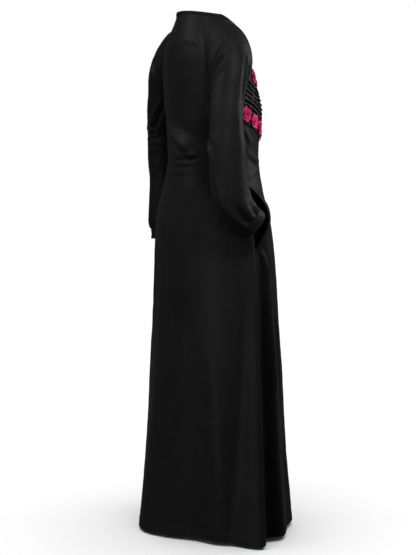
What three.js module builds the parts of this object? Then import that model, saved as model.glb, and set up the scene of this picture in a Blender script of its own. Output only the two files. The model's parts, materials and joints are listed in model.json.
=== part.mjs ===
// A floor-length black abaya as it hangs when worn: a back and a front that flare to the hem, raglan
// sleeves gathered into narrow cuffs, a bound round neck, a pocket in each side seam, and a band of
// pin tucks with flower appliques across the chest. Every piece of cloth is a thin closed wall.
//
// Millimetres. +X is the wearer's left, -Y the front, +Z up. The origin is in the middle of the neck
// opening, level with the tops of the shoulders, which carry the garment.
import * as THREE from "three";

// Driving sizes
const WALL = 1.6; // cloth, with its seam allowances and turned edges
const BAND_WALL = 2.2; // the doubled cloth of the cuffs and the neck binding
const SEAM = 0.3; // gap between two pieces that are sewn together
const HEM_Z = -1470;
const UNDERARM_Z = -215;
const RAD = Math.PI / 180;

// Cross-sections of the body, from the hem up to the neck. wide is half the width, mid the depth at
// which it is widest (the side seams), front and back the foremost and rearmost cloth.
const BODY = [
  { z: -1470, wide: 262, mid: -33, front: -243, back: 178 },
  { z: -1394, wide: 255, mid: -33, front: -238, back: 174 },
  { z: -1248, wide: 243, mid: -33, front: -226, back: 163 },
  { z: -1103, wide: 233, mid: -33, front: -222, back: 154 },
  { z: -957, wide: 224, mid: -32, front: -215, back: 146 },
  { z: -811, wide: 216, mid: -31, front: -206, back: 140 },
  { z: -665, wide: 208, mid: -30, front: -194, back: 135 },
  { z: -578, wide: 200, mid: -26, front: -182, back: 131 },
  { z: -490, wide: 180, mid: -20, front: -161, back: 112 },
  { z: -440, wide: 165, mid: -14, front: -156, back: 100 },
  { z: -388, wide: 155, mid: -8, front: -154, back: 94 },
  { z: -310, wide: 158, mid: 0, front: -157, back: 96 },
  { z: -257, wide: 160, mid: 6, front: -158, back: 99 },
  { z: -215, wide: 160, mid: 12, front: -149, back: 103 },
  { z: -170, wide: 158, mid: 12, front: -137, back: 107 },
  { z: -120, wide: 152, mid: 10, front: -128, back: 108 },
  { z: -75, wide: 139, mid: 6, front: -112, back: 104 },
  { z: -40, wide: 118, mid: 3, front: -96, back: 96 },
  { z: 0, wide: 94, mid: 1, front: -79, back: 83 },
  { z: 30, wide: 86, mid: 0, front: -74, back: 75 },
];

// Height of the neck edge at the centre back, the sides and the centre front.
const NECK = { back: 14, side: 2, front: -52 };

// The raglan seams, as angles round the body from the centre back, against the share of the way from
// the underarm to the neck.
const RAGLAN = [
  { up: 0, back: 82, front: 82 },
  { up: 0.06, back: 76, front: 88 },
  { up: 0.14, back: 69, front: 97 },
  { up: 0.24, back: 62.5, front: 107 },
  { up: 0.36, back: 58, front: 116 },
  { up: 0.5, back: 56, front: 122 },
  { up: 0.64, back: 55.5, front: 125 },
  { up: 0.78, back: 56.5, front: 124 },
  { up: 0.9, back: 58.5, front: 122 },
  { up: 1, back: 60, front: 120 },
];

// The upper sleeve, arc by arc from the underarm over the shoulder to the neck. out, y and z place the
// arc's centre; deep is half its depth fore and aft, wide its reach at the middle of the arc, which
// is lifted by lift and turned to the back by turn.
const SHOULDER = [
  { up: 0, out: 202, y: 33, z: -216, lift: 0, turn: 12, deep: 52, wide: 42 },
  { up: 0.06, out: 200, y: 31, z: -205, lift: 3, turn: 12, deep: 52, wide: 42.5 },
  { up: 0.14, out: 196, y: 28, z: -190, lift: 8, turn: 11, deep: 53, wide: 43.5 },
  { up: 0.24, out: 189, y: 22, z: -170, lift: 14, turn: 9, deep: 55, wide: 46 },
  { up: 0.36, out: 177, y: 15, z: -145, lift: 24, turn: 6, deep: 58, wide: 49 },
  { up: 0.5, out: 160, y: 9, z: -117, lift: 38, turn: 4, deep: 60, wide: 52 },
  { up: 0.64, out: 138, y: 5, z: -92, lift: 52, turn: 2, deep: 60, wide: 56 },
  { up: 0.78, out: 112, y: 3, z: -72, lift: 64, turn: 0, deep: 57, wide: 59 },
  { up: 0.9, out: 88, y: 2, z: -60, lift: 72, turn: 0, deep: 52, wide: 57 },
  { up: 1, out: 88, y: 2, z: -60, lift: 72, turn: 0, deep: 52, wide: 57 },
];

// How far each shoulder is carried back and out: the right one is a little forward, towards the hand.
const SHOULDER_SET = { right: { back: -6, out: 4 }, left: { back: 15, out: 8 } };

// The lower sleeves, station by station from the underarm to the cuff seam. deep is half the depth
// fore and aft, wide half the width across, turn how far the outside is turned towards the back.
const RIGHT_SLEEVE = [
  { out: 202, y: 33, z: -216, deep: 52, wide: 42, turn: 12 },
  { out: 214, y: 42, z: -265, deep: 51, wide: 43, turn: 14 },
  { out: 225, y: 50, z: -320, deep: 50, wide: 42, turn: 14 },
  { out: 233, y: 55, z: -371, deep: 52, wide: 42, turn: 12 },
  { out: 238, y: 53, z: -440, deep: 51, wide: 42, turn: 8 },
  { out: 241, y: 43, z: -500, deep: 54, wide: 41, turn: 4 },
  { out: 242, y: 16, z: -538, deep: 49, wide: 38, turn: 0 },
  { out: 241, y: -8, z: -556, deep: 40, wide: 33, turn: 0 },
];
const LEFT_SLEEVE = [
  { out: 202, y: 33, z: -216, deep: 52, wide: 42, turn: 12 },
  { out: 215, y: 28, z: -265, deep: 52, wide: 43, turn: 12 },
  { out: 228, y: 22, z: -320, deep: 51, wide: 43, turn: 10 },
  { out: 237, y: 17, z: -375, deep: 51, wide: 43, turn: 8 },
  { out: 242, y: 11, z: -450, deep: 50, wide: 42, turn: 4 },
  { out: 243, y: 8, z: -530, deep: 53, wide: 42, turn: 0 },
  { out: 245, y: 11, z: -585, deep: 52, wide: 40, turn: 0 },
  { out: 244, y: 12, z: -617, deep: 41, wide: 33, turn: 0 },
];
const CUFF_WIDTH = 26;
const GATHERS = 8; // round each wrist
const GATHER_DEPTH = 3.2;
const GATHER_RUN = 95; // how far the gathers reach up the sleeve

// The side seam's angle round the body from the centre back: it swings forward over the hip.
const SIDE_SEAM = [
  { z: -1470, angle: 89 },
  { z: -1130, angle: 92 },
  { z: -850, angle: 94 },
  { z: -620, angle: 97 },
  { z: -480, angle: 98 },
  { z: -350, angle: 92 },
  { z: -215, angle: 82 },
];

// Skirt folds: ridges (depth above 0) and hollows that start at top and grow towards the hem. at is
// the angle round the body from the centre back towards the wearer's right, where the fold starts
// and at the hem. spread is in degrees at the hem. lean rolls a fold over, in millimetres along the
// cloth. early above 1 makes a fold come up late.
const FOLDS = [
  { top: -500, atTop: 93, atHem: 84, spread: 8, depth: 40, lean: 17, early: 0.8 },
  { top: -560, atTop: 104, atHem: 101, spread: 7, depth: -9, lean: 0, early: 0.4 },
  { top: -540, atTop: 114, atHem: 114, spread: 8, depth: 11, lean: 0, early: 0.5 },
  { top: -700, atTop: 78, atHem: 69, spread: 8, depth: -10, lean: 0, early: 1.2 },
  { top: -620, atTop: 34, atHem: 40, spread: 20, depth: -33, lean: 0, early: 1.8 },
  { top: -560, atTop: 4, atHem: -4, spread: 15, depth: 24, lean: 0, early: 1.7 },
  { top: -650, atTop: -54, atHem: -52, spread: 14, depth: -22, lean: 0, early: 1.4 },
  { top: -590, atTop: -86, atHem: -79, spread: 9, depth: 31, lean: -12, early: 1 },
  { top: -640, atTop: -104, atHem: -101, spread: 8, depth: -12, lean: 0, early: 0.8 },
  { top: -720, atTop: -120, atHem: -119, spread: 9, depth: 13, lean: 0, early: 1 },
  { top: -700, atTop: -142, atHem: -144, spread: 12, depth: -15, lean: 0, early: 1.2 },
  { top: -640, atTop: -170, atHem: -167, spread: 11, depth: 14, lean: 0, early: 1.2 },
  { top: -760, atTop: 176, atHem: 174, spread: 10, depth: -13, lean: 0, early: 1.2 },
  { top: -660, atTop: 152, atHem: 156, spread: 10, depth: 12, lean: 0, early: 1.3 },
  { top: -740, atTop: 134, atHem: 136, spread: 9, depth: -8, lean: 0, early: 1.1 },
];

// Where the hem hangs a little lower than the rest: at the flute behind the right side seam, and at
// the back on the left.
const HEM_DROPS = [
  { at: 78, depth: 8, spread: 9 },
  { at: -2, depth: 5, spread: 38 },
];

// The pocket mouths in the side seams. pull is how far, in degrees, the front edge is drawn forward,
// stand how far it stands off, and gape how deep the bag behind it is. A bag reaches forward by reach
// degrees and hangs down by drop.
const RIGHT_POCKET = { side: 1, top: -466, bottom: -655, pull: 19, stand: 20, gape: 36 };
const LEFT_POCKET = { side: -1, top: -472, bottom: -636, pull: 3, stand: 3, gape: 11 };
const BAG = { reach: 40, drop: 60, rings: 7, around: 20 };

// The chest band. Its edges sag towards the centre front.
const BAND = { top: -173, bottom: -366, sag: 70, reach: 80, curve: 1.3, wall: 1.2, lift: 0.9, border: 51 };
const TUCKS = 6;
const TUCK_DEPTH = 4;
const FLOWER = { radius: 21, petals: 6, rise: 2.6, thick: 1.1, pitch: 46.5 };
const UPPER_FLOWERS = { count: 6, centre: -198 };
const LOWER_FLOWERS = { count: 8, centre: -340 };

const BLACK_CLOTH = { color: 0x17171a, roughness: 0.62, metalness: 0 };
const PINK_FELT = { color: 0xc2185b, roughness: 0.75, metalness: 0 };

// Smooth curve through one column of a table, against another column.
function column(table, key, name) {
  const ordered = [...table].sort((p, q) => p[key] - q[key]);
  const at = ordered.map((row) => row[key]);
  const value = ordered.map((row) => row[name]);
  const last = at.length - 1;
  const step = at.slice(1).map((x, i) => (value[i + 1] - value[i]) / (x - at[i]));
  const slope = at.map((_, i) => {
    if (i === 0) return step[0];
    if (i === last) return step[last - 1];
    if (step[i - 1] * step[i] <= 0) return 0;
    return (2 * step[i - 1] * step[i]) / (step[i - 1] + step[i]);
  });
  return (x) => {
    const here = Math.min(Math.max(x, at[0]), at[last]);
    let i = 0;
    while (i < last - 1 && here > at[i + 1]) i++;
    const h = at[i + 1] - at[i];
    const s = (here - at[i]) / h;
    return (
      value[i] * (1 + 2 * s) * (1 - s) ** 2 +
      slope[i] * h * s * (1 - s) ** 2 +
      value[i + 1] * s * s * (3 - 2 * s) +
      slope[i + 1] * h * s * s * (s - 1)
    );
  };
}

const clamp01 = (x) => Math.min(Math.max(x, 0), 1);
const smooth = (x) => clamp01(x) ** 2 * (3 - 2 * clamp01(x));
const mix = (a, b, s) => a + (b - a) * s;
const vec = (x, y, z) => new THREE.Vector3(x, y, z);

const bodyWide = column(BODY, "z", "wide");
const bodyMid = column(BODY, "z", "mid");
const bodyFront = column(BODY, "z", "front");
const bodyBack = column(BODY, "z", "back");
const raglanBack = column(RAGLAN, "up", "back");
const raglanFront = column(RAGLAN, "up", "front");
const seamAngle = column(SIDE_SEAM, "z", "angle");
const shoulder = Object.fromEntries(
  Object.keys(SHOULDER[0]).map((name) => [name, column(SHOULDER, "up", name)]),
);

// Angles round the body, in degrees: 0 centre back, 90 right side, 180 centre front.
function bodyPoint(angle, z) {
  const c = Math.cos(angle * RAD);
  const mid = bodyMid(z);
  const reach = c >= 0 ? bodyBack(z) - mid : mid - bodyFront(z);
  return vec(-bodyWide(z) * Math.sin(angle * RAD), mid + reach * c, z);
}

// Height of the neck edge round the neck.
function neckHeight(angle) {
  const c = Math.cos(angle * RAD);
  const rise = c >= 0 ? NECK.back - NECK.side : NECK.side - NECK.front;
  return NECK.side + rise * c * Math.abs(c) ** 0.4;
}

function angleApart(a, b) {
  return ((((a - b + 180) % 360) + 360) % 360) - 180;
}

// How far the skirt's folds move the cloth out of its plain form, and along it.
function foldShift(angle, z) {
  const shift = { out: 0, along: 0 };
  for (const f of FOLDS) {
    const down = (f.top - z) / (f.top - HEM_Z);
    if (down <= 0) continue;
    const at = mix(f.atTop, f.atHem, down);
    const off = angleApart(angle, at) / (f.spread * mix(0.55, 1, down));
    const swell = smooth(down * 4) * down ** f.early * Math.exp(-off * off);
    shift.out += f.depth * swell;
    shift.along += f.lean * swell;
  }
  return shift;
}

// 0 to 1 to 0 down a pocket's mouth.
function mouth(pocket, z) {
  const s = (pocket.top - z) / (pocket.top - pocket.bottom);
  return s <= 0 || s >= 1 ? 0 : Math.sin(Math.PI * s ** 0.8) ** 1.2;
}

// A pocket's two edges: the back's side seam, and the front's, drawn forward.
const backEdge = (pocket, z) => seamAngle(z);
const frontEdge = (pocket, z) => seamAngle(z) + pocket.pull * mouth(pocket, z);

// Body cloth below the underarm, with its folds. The front also stands off at the pockets.
function skirtPoint(angle, z, isFront) {
  const p = bodyPoint(angle, z);
  const shift = foldShift(angle, z);
  const outward = vec(p.x, p.y - bodyMid(z), 0).normalize();
  const forward = vec(0, 0, 1).cross(outward);
  let out = shift.out;
  if (isFront)
    for (const pocket of [RIGHT_POCKET, LEFT_POCKET]) {
      const off = (pocket.side * angleApart(angle, 0) - frontEdge(pocket, z)) / 12;
      out += pocket.stand * mouth(pocket, z) * Math.exp(-off * off);
    }
  const down = (UNDERARM_Z - z) / (UNDERARM_Z - HEM_Z);
  for (const drop of HEM_DROPS) {
    const off = angleApart(angle, drop.at) / drop.spread;
    p.z -= drop.depth * down ** 4 * Math.exp(-off * off);
  }
  return p.addScaledVector(outward, out).addScaledVector(forward, shift.along);
}

// Cloth of the body anywhere. level runs from -1 at the hem to 0 at the underarm and 1 at the neck.
function bodyCloth(angle, level, isFront) {
  if (level <= 0) return skirtPoint(angle, mix(UNDERARM_Z, HEM_Z, -level), isFront);
  return bodyPoint(angle, mix(UNDERARM_Z, neckHeight(angle), level));
}

const heightLevel = (z) => (z - UNDERARM_Z) / (UNDERARM_Z - HEM_Z);

function bodyNormal(angle, level, isFront) {
  const across = bodyCloth(angle + 0.6, level, isFront).sub(bodyCloth(angle - 0.6, level, isFront));
  const up = bodyCloth(angle, level + 0.004, isFront).sub(bodyCloth(angle, level - 0.004, isFront));
  return across.cross(up).normalize();
}

// Rows of the back and the front, from the hem to the neck.
const SKIRT_ROWS = [
  -1470, -1425, -1360, -1280, -1195, -1110, -1020, -930, -850, -775, -710, -670, -638, -610, -582, -554,
  -526, -498, -470, -440, -410, -378, -345, -312, -280, -248, -215,
].map(heightLevel);
const YOKE_ROWS = [0.06, 0.14, 0.24, 0.36, 0.5, 0.64, 0.78, 0.9, 1];

// Normals of a grid of points, from its neighbours.
function gridNormals(grid, round = false) {
  const rows = grid.length;
  const cols = grid[0].length;
  return grid.map((row, r) =>
    row.map((_, c) => {
      const left = round ? row[(c + cols - 1) % cols] : row[Math.max(c - 1, 0)];
      const right = round ? row[(c + 1) % cols] : row[Math.min(c + 1, cols - 1)];
      const across = right.clone().sub(left);
      const up = grid[Math.min(r + 1, rows - 1)][c].clone().sub(grid[Math.max(r - 1, 0)][c]);
      return across.cross(up).normalize();
    }),
  );
}

// A wall of cloth from a grid of outer points, rows by columns. Its inside is set in along the
// normals. depths gives each row's thickness, where it is not the same throughout.
function wall(grid, thick, { round = false, closeTop = false, normals = null, depths = null } = {}) {
  const rows = grid.length;
  const cols = grid[0].length;
  const out = normals ?? gridNormals(grid, round);
  const points = [];
  grid.forEach((row) => row.forEach((p) => points.push(p.x, p.y, p.z)));
  grid.forEach((row, r) =>
    row.forEach((p, c) => {
      const q = p.clone().addScaledVector(out[r][c], -(depths ? depths[r] : thick));
      points.push(q.x, q.y, q.z);
    }),
  );
  const outer = (r, c) => r * cols + (c % cols);
  const inner = (r, c) => rows * cols + outer(r, c);
  const faces = [];
  const quad = (a, b, c, d) => faces.push(a, b, c, a, c, d);
  const span = round ? cols : cols - 1;
  for (let r = 0; r < rows - 1; r++)
    for (let c = 0; c < span; c++) {
      quad(outer(r, c), outer(r, c + 1), outer(r + 1, c + 1), outer(r + 1, c));
      quad(inner(r, c + 1), inner(r, c), inner(r + 1, c), inner(r + 1, c + 1));
    }
  for (let c = 0; c < span; c++) {
    quad(inner(0, c), inner(0, c + 1), outer(0, c + 1), outer(0, c));
    if (!closeTop) {
      const t = rows - 1;
      quad(outer(t, c), outer(t, c + 1), inner(t, c + 1), inner(t, c));
    }
  }
  if (!round)
    for (let r = 0; r < rows - 1; r++) {
      quad(inner(r, 0), outer(r, 0), outer(r + 1, 0), inner(r + 1, 0));
      quad(outer(r, cols - 1), inner(r, cols - 1), inner(r + 1, cols - 1), outer(r + 1, cols - 1));
    }
  if (closeTop) {
    // The last ring closes on its own middle, outside and inside, as the bottom of a bag does.
    for (const [ring, flip] of [[outer, false], [inner, true]]) {
      const middle = points.length / 3;
      const sum = vec(0, 0, 0);
      for (let c = 0; c < cols; c++) {
        const i = ring(rows - 1, c) * 3;
        sum.add(vec(points[i], points[i + 1], points[i + 2]));
      }
      sum.divideScalar(cols);
      points.push(sum.x, sum.y, sum.z);
      for (let c = 0; c < cols; c++) {
        const pair = [ring(rows - 1, c), ring(rows - 1, c + 1)];
        if (flip) pair.reverse();
        faces.push(pair[0], pair[1], middle);
      }
    }
  }
  return solid(points, faces);
}

function solid(points, faces) {
  const geometry = new THREE.BufferGeometry();
  geometry.setAttribute("position", new THREE.Float32BufferAttribute(points, 3));
  geometry.setIndex(faces);
  geometry.computeVertexNormals();
  return geometry;
}

// Evenly spread columns, closer together near the folds that need them.
function spread(count, pinch = []) {
  const weights = Array.from({ length: count }, (_, i) => {
    const w = (i + 0.5) / count;
    return 1 / (1 + pinch.reduce((sum, p) => sum + p.more * Math.exp(-(((w - p.at) / p.over) ** 2)), 0));
  });
  const total = weights.reduce((a, b) => a + b, 0);
  let run = 0;
  return [0, ...weights.map((w) => (run += w / total))];
}

// Degrees a piece gives up at a seam: half the gap and a little more, as some seams run aslant.
function seamShare(angle, level) {
  const p = bodyCloth(angle, level, false);
  return (SEAM * (level > 0 && level < 0.3 ? 1.4 : 0.8)) / (Math.hypot(p.x, p.y) * RAD);
}

const SLEEVE_COLUMNS = spread(22);

// An arc of the upper sleeve, from the back raglan seam over the shoulder to the front one: part of
// an ellipse, drawn in at both ends to meet the seams.
function shoulderArc(side, up) {
  const rearAngle = raglanBack(up) + seamShare(raglanBack(up), up);
  const foreAngle = raglanFront(up) - seamShare(raglanFront(up), up);
  if (up >= 1)
    return SLEEVE_COLUMNS.map((w) => bodyCloth(-side * mix(rearAngle, foreAngle, w), up, w > 0.5));
  const [out, y, z, lift, turn, deep, wide] = ["out", "y", "z", "lift", "turn", "deep", "wide"].map(
    (name) => shoulder[name](up),
  );
  const set = SHOULDER_SET[side < 0 ? "right" : "left"];
  const share = smooth(up / 0.4) * (1 - smooth((up - 0.7) / 0.3));
  const centre = vec(side * (out + set.out * share), y + set.back * share, z);
  const level = Math.cos(lift * RAD);
  const middle = vec(side * Math.cos(turn * RAD) * level, Math.sin(turn * RAD) * level, Math.sin(lift * RAD));
  const rear = vec(0, 1, 0).addScaledVector(middle, -middle.y).normalize();
  const onEllipse = (round) =>
    centre
      .clone()
      .addScaledVector(middle, wide * Math.cos(round))
      .addScaledVector(rear, deep * Math.sin(round));
  const ends = [bodyCloth(-side * rearAngle, up, false), bodyCloth(-side * foreAngle, up, true)].map((p) => {
    const d = p.clone().sub(centre);
    const round = Math.atan2(d.dot(rear) / deep, d.dot(middle) / wide);
    return { round, miss: p.clone().sub(onEllipse(round)) };
  });
  return SLEEVE_COLUMNS.map((w) => {
    const end = w < 0.5 ? ends[0] : ends[1];
    const share = Math.abs(1 - 2 * w);
    return onEllipse(end.round * share).addScaledVector(end.miss, share ** 3);
  });
}

function alongSleeve(side, stations) {
  const path = new THREE.CatmullRomCurve3(stations.map((s) => vec(side * s.out, s.y, s.z)), false, "centripetal");
  const share = stations.map((s, i) => ({ at: i / (stations.length - 1), ...s }));
  const deep = column(share, "at", "deep");
  const wide = column(share, "at", "wide");
  const turn = column(share, "at", "turn");
  return (s) => {
    const centre = path.getPoint(s);
    const down = path.getTangent(s);
    const around = turn(s) * RAD;
    const middle = vec(side * Math.cos(around), Math.sin(around), 0);
    middle.addScaledVector(down, -middle.dot(down)).normalize();
    const rear = middle.clone().cross(down).multiplyScalar(side);
    return { centre, down, middle, rear, deep: deep(s), wide: wide(s), length: path.getLength() };
  };
}

const SLEEVE_SEAM = 0.25; // degrees left open under the arm, for the sleeve's own seam

function sleeveRing(side, along, s, columns) {
  const ring = along(s);
  const toCuff = (1 - s) * ring.length;
  const gather = GATHER_DEPTH * smooth(1 - toCuff / GATHER_RUN);
  return columns.map((w) => {
    const round = (180 - SLEEVE_SEAM) * (1 - 2 * w) * RAD;
    const fold = gather * Math.cos(GATHERS * round);
    return ring.centre
      .clone()
      .addScaledVector(ring.middle, (ring.wide + fold) * Math.cos(round))
      .addScaledVector(ring.rear, (ring.deep + fold) * Math.sin(round));
  });
}

const SLEEVE_STEPS = [1, 0.96, 0.92, 0.87, 0.81, 0.74, 0.67, 0.59, 0.51, 0.43, 0.34, 0.25, 0.16, 0.08, 0];

// A sleeve is one cut piece: rings round the arm from the cuff to the underarm, then arcs that open
// out along the two raglan seams to the neck. Its own seam runs under the arm.
function sleeveGrid(side, stations) {
  const along = alongSleeve(side, stations);
  const grid = [
    ...SLEEVE_STEPS.map((s) => sleeveRing(side, along, s, SLEEVE_COLUMNS)),
    ...YOKE_ROWS.map((up) => shoulderArc(side, up)),
  ];
  // Columns run the same way round as the body's, which on the left is from front to back.
  if (side > 0) grid.forEach((row) => row.reverse());
  const normals = gridNormals(grid);
  // Along a raglan seam, both pieces take the same normal, between their own.
  const last = SLEEVE_COLUMNS.length - 1;
  YOKE_ROWS.forEach((up, i) => {
    const r = SLEEVE_STEPS.length + i;
    for (const c of [0, last]) {
      const isFront = (c === last) === side < 0;
      const seam = isFront ? raglanFront(up) : raglanBack(up);
      normals[r][c].add(bodyNormal(-side * seam, up, isFront)).normalize();
    }
  });
  return { grid, normals };
}

// The normal a raglan seam gives to the body piece beside it.
function raglanNormal(sleeve, side, isFront, row) {
  const first = SLEEVE_STEPS.length;
  const c = isFront === side < 0 ? SLEEVE_COLUMNS.length - 1 : 0;
  return sleeve.normals[first + row][c];
}

// The back or the front: a grid from one edge to the other, from the hem to the neck.
function bodyPanel(isFront, sleeves, columns) {
  const levels = [...SKIRT_ROWS, ...YOKE_ROWS];
  const edges = levels.map((level) => {
    if (level > 0) {
      if (isFront) return [raglanFront(level), 360 - raglanFront(level)];
      return [-raglanBack(level), raglanBack(level)];
    }
    const z = mix(UNDERARM_Z, HEM_Z, -level);
    if (isFront) return [frontEdge(RIGHT_POCKET, z), 360 - frontEdge(LEFT_POCKET, z)];
    return [-backEdge(LEFT_POCKET, z), backEdge(RIGHT_POCKET, z)];
  });
  const angleAt = (r, w) => {
    const [from, to] = edges[r];
    return mix(from + seamShare(from, levels[r]), to - seamShare(to, levels[r]), w);
  };
  const grid = levels.map((level, r) => columns.map((w) => bodyCloth(angleAt(r, w), level, isFront)));
  const normals = levels.map((level, r) => columns.map((w) => bodyNormal(angleAt(r, w), level, isFront)));
  const last = columns.length - 1;
  YOKE_ROWS.forEach((_, i) => {
    const r = SKIRT_ROWS.length + i;
    const [first, second] = isFront ? ["right", "left"] : ["left", "right"];
    const sides = { right: -1, left: 1 };
    normals[r][0] = raglanNormal(sleeves[first], sides[first], isFront, i);
    normals[r][last] = raglanNormal(sleeves[second], sides[second], isFront, i);
  });
  return wall(grid, WALL, { normals });
}

function cuff(side, stations) {
  const along = alongSleeve(side, stations);
  const ring = along(1);
  const start = ring.centre.clone().addScaledVector(ring.down, SEAM);
  const steps = [CUFF_WIDTH, CUFF_WIDTH * 0.66, CUFF_WIDTH * 0.33, 0];
  const grid = steps.map((far) =>
    Array.from({ length: 24 }, (_, c) => {
      const round = -side * (c / 24) * 2 * Math.PI;
      const snug = 1.5 * Math.sin((Math.PI * far) / CUFF_WIDTH);
      return start
        .clone()
        .addScaledVector(ring.down, far)
        .addScaledVector(ring.middle, (ring.wide - snug) * Math.cos(round))
        .addScaledVector(ring.rear, (ring.deep - snug) * Math.sin(round));
    }),
  );
  return wall(grid, BAND_WALL, { round: true });
}

const NECK_BAND = 9;

function neckBinding() {
  const columns = 48;
  const grid = [SEAM * 2, NECK_BAND * 0.5, NECK_BAND].map((rise) =>
    Array.from({ length: columns }, (_, c) => {
      const angle = (c / columns) * 360;
      const edge = bodyPoint(angle, neckHeight(angle));
      const drawn = 1 + (BAND_WALL - WALL - 0.1 * rise) / 90;
      return vec(edge.x * drawn, edge.y * drawn, edge.z + rise);
    }),
  );
  return wall(grid, BAND_WALL, { round: true });
}

// A pocket bag hangs inside the front. Its first ring lies just inside the mouth: half of it along
// the front's edge, half along the back's. The rings after it run forward and down, and close.
function pocketBag(pocket) {
  const middle = (pocket.top + pocket.bottom) / 2;
  const half = (pocket.top - pocket.bottom) / 2;
  const inside = (angle, z, isFront, depth) => {
    const level = heightLevel(z);
    const a = pocket.side * angle;
    return bodyCloth(a, level, isFront).addScaledVector(bodyNormal(a, level, isFront), -depth);
  };
  const grid = Array.from({ length: BAG.rings }, (_, k) => {
    const s = k / (BAG.rings - 1);
    const tall = half * (s < 0.5 ? 1.02 : 1.02 * Math.sqrt(1 - ((s - 0.5) / 0.56) ** 2));
    const drop = BAG.drop * smooth(s * 1.2);
    const inset = WALL + 3 * SEAM + 3.8 * smooth(s * 4);
    return Array.from({ length: BAG.around }, (_, i) => {
      const turn = (i / BAG.around) * 2 * Math.PI;
      const z = middle - drop - tall * Math.cos(turn);
      const mouthZ = Math.min(Math.max(z, pocket.bottom), pocket.top);
      const near = Math.sin(turn) >= 0;
      const round = Math.abs(Math.sin(turn)) ** 0.6;
      const front = frontEdge(pocket, mouthZ) + 0.6 + BAG.reach * s;
      const back = mix(backEdge(pocket, mouthZ) - 0.6, front, smooth(s * 2.2));
      if (near) return inside(mix((front + back) / 2, front, round), z, true, inset);
      const deep = pocket.gape * smooth(s * 4) * (1 - 0.5 * s) + 2;
      return inside(mix((front + back) / 2, back, round), z, s > 0.2, inset + deep * round);
    });
  });
  if (pocket.side > 0) grid.forEach((row) => row.reverse());
  return wall(grid, 1, { round: true, closeTop: true });
}

// Points of the front by angle and height, anywhere on it, moved out of its surface.
function frontLevel(angle, z) {
  return z <= UNDERARM_Z ? heightLevel(z) : (z - UNDERARM_Z) / (neckHeight(angle) - UNDERARM_Z);
}

function offFront(angle, z, out) {
  const level = frontLevel(angle, z);
  return bodyCloth(angle, level, true).addScaledVector(bodyNormal(angle, level, true), out);
}

// The sag of everything on the chest band: heights are given at the centre front.
const bandHeight = (centreZ, off) => centreZ + BAND.sag * (Math.abs(off) / 70) ** BAND.curve;

// How far round from the centre front the band can run at one of its rows, clear of the raglans.
function bandReach(centreZ) {
  for (let off = BAND.reach; off > 20; off -= 0.25) {
    const z = bandHeight(centreZ, off);
    if (z <= UNDERARM_Z - 8) return off;
    if (z < UNDERARM_Z) continue;
    if (off < 180 - raglanFront(frontLevel(180 + off, z)) - 2.5) return off;
  }
  return 20;
}

// The rows of the chest band from top to bottom: flat borders, and a run of tucks between them.
function bandRows() {
  const border = BAND.border / (BAND.top - BAND.bottom);
  const rows = [
    { down: 0, out: 0 },
    { down: border / 2, out: 0 },
  ];
  for (let i = 0; i < TUCKS; i++) {
    const from = mix(border, 1 - border, i / TUCKS);
    const to = mix(border, 1 - border, (i + 1) / TUCKS);
    rows.push({ down: from, out: 0.2 });
    rows.push({ down: mix(from, to, 0.8), out: TUCK_DEPTH });
  }
  rows.push({ down: 1 - border, out: 0 }, { down: 1 - border / 2, out: 0 }, { down: 1, out: 0 });
  return rows;
}

function chestBand() {
  const columns = spread(26);
  const rows = bandRows().reverse();
  const lift = BAND.lift + BAND.wall;
  const spot = (row, w) => {
    const centreZ = mix(BAND.top, BAND.bottom, row.down);
    const reach = bandReach(centreZ);
    const off = mix(-reach, reach, w);
    return { angle: 180 + off, z: bandHeight(centreZ, off) };
  };
  const grid = rows.map((row) =>
    columns.map((w) => {
      const { angle, z } = spot(row, w);
      return offFront(angle, z, lift + row.out * (1 + 0.18 * Math.sin(angle * 0.5)));
    }),
  );
  const normals = rows.map((row) =>
    columns.map((w) => {
      const { angle, z } = spot(row, w);
      return bodyNormal(angle, frontLevel(angle, z), true);
    }),
  );
  return wall(grid, BAND.wall, { normals, depths: rows.map((row) => BAND.wall + row.out * 0.8) });
}

// Angles off the centre front for a row of flowers, spaced evenly along the cloth.
function flowerSpots(row) {
  const spots = [];
  let run = row.count % 2 ? 0 : FLOWER.pitch / 2;
  let walked = 0;
  let last = offFront(180, bandHeight(row.centre, 0), BAND.wall);
  for (let off = 0.1; off < 88 && spots.length < Math.ceil(row.count / 2); off += 0.1) {
    const here = offFront(180 + off, bandHeight(row.centre, off), BAND.wall);
    walked += here.distanceTo(last);
    last = here;
    if (walked < run) continue;
    spots.push(off);
    run += FLOWER.pitch;
  }
  return [...spots.map((off) => -off).reverse(), ...spots.slice(row.count % 2)];
}

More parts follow.
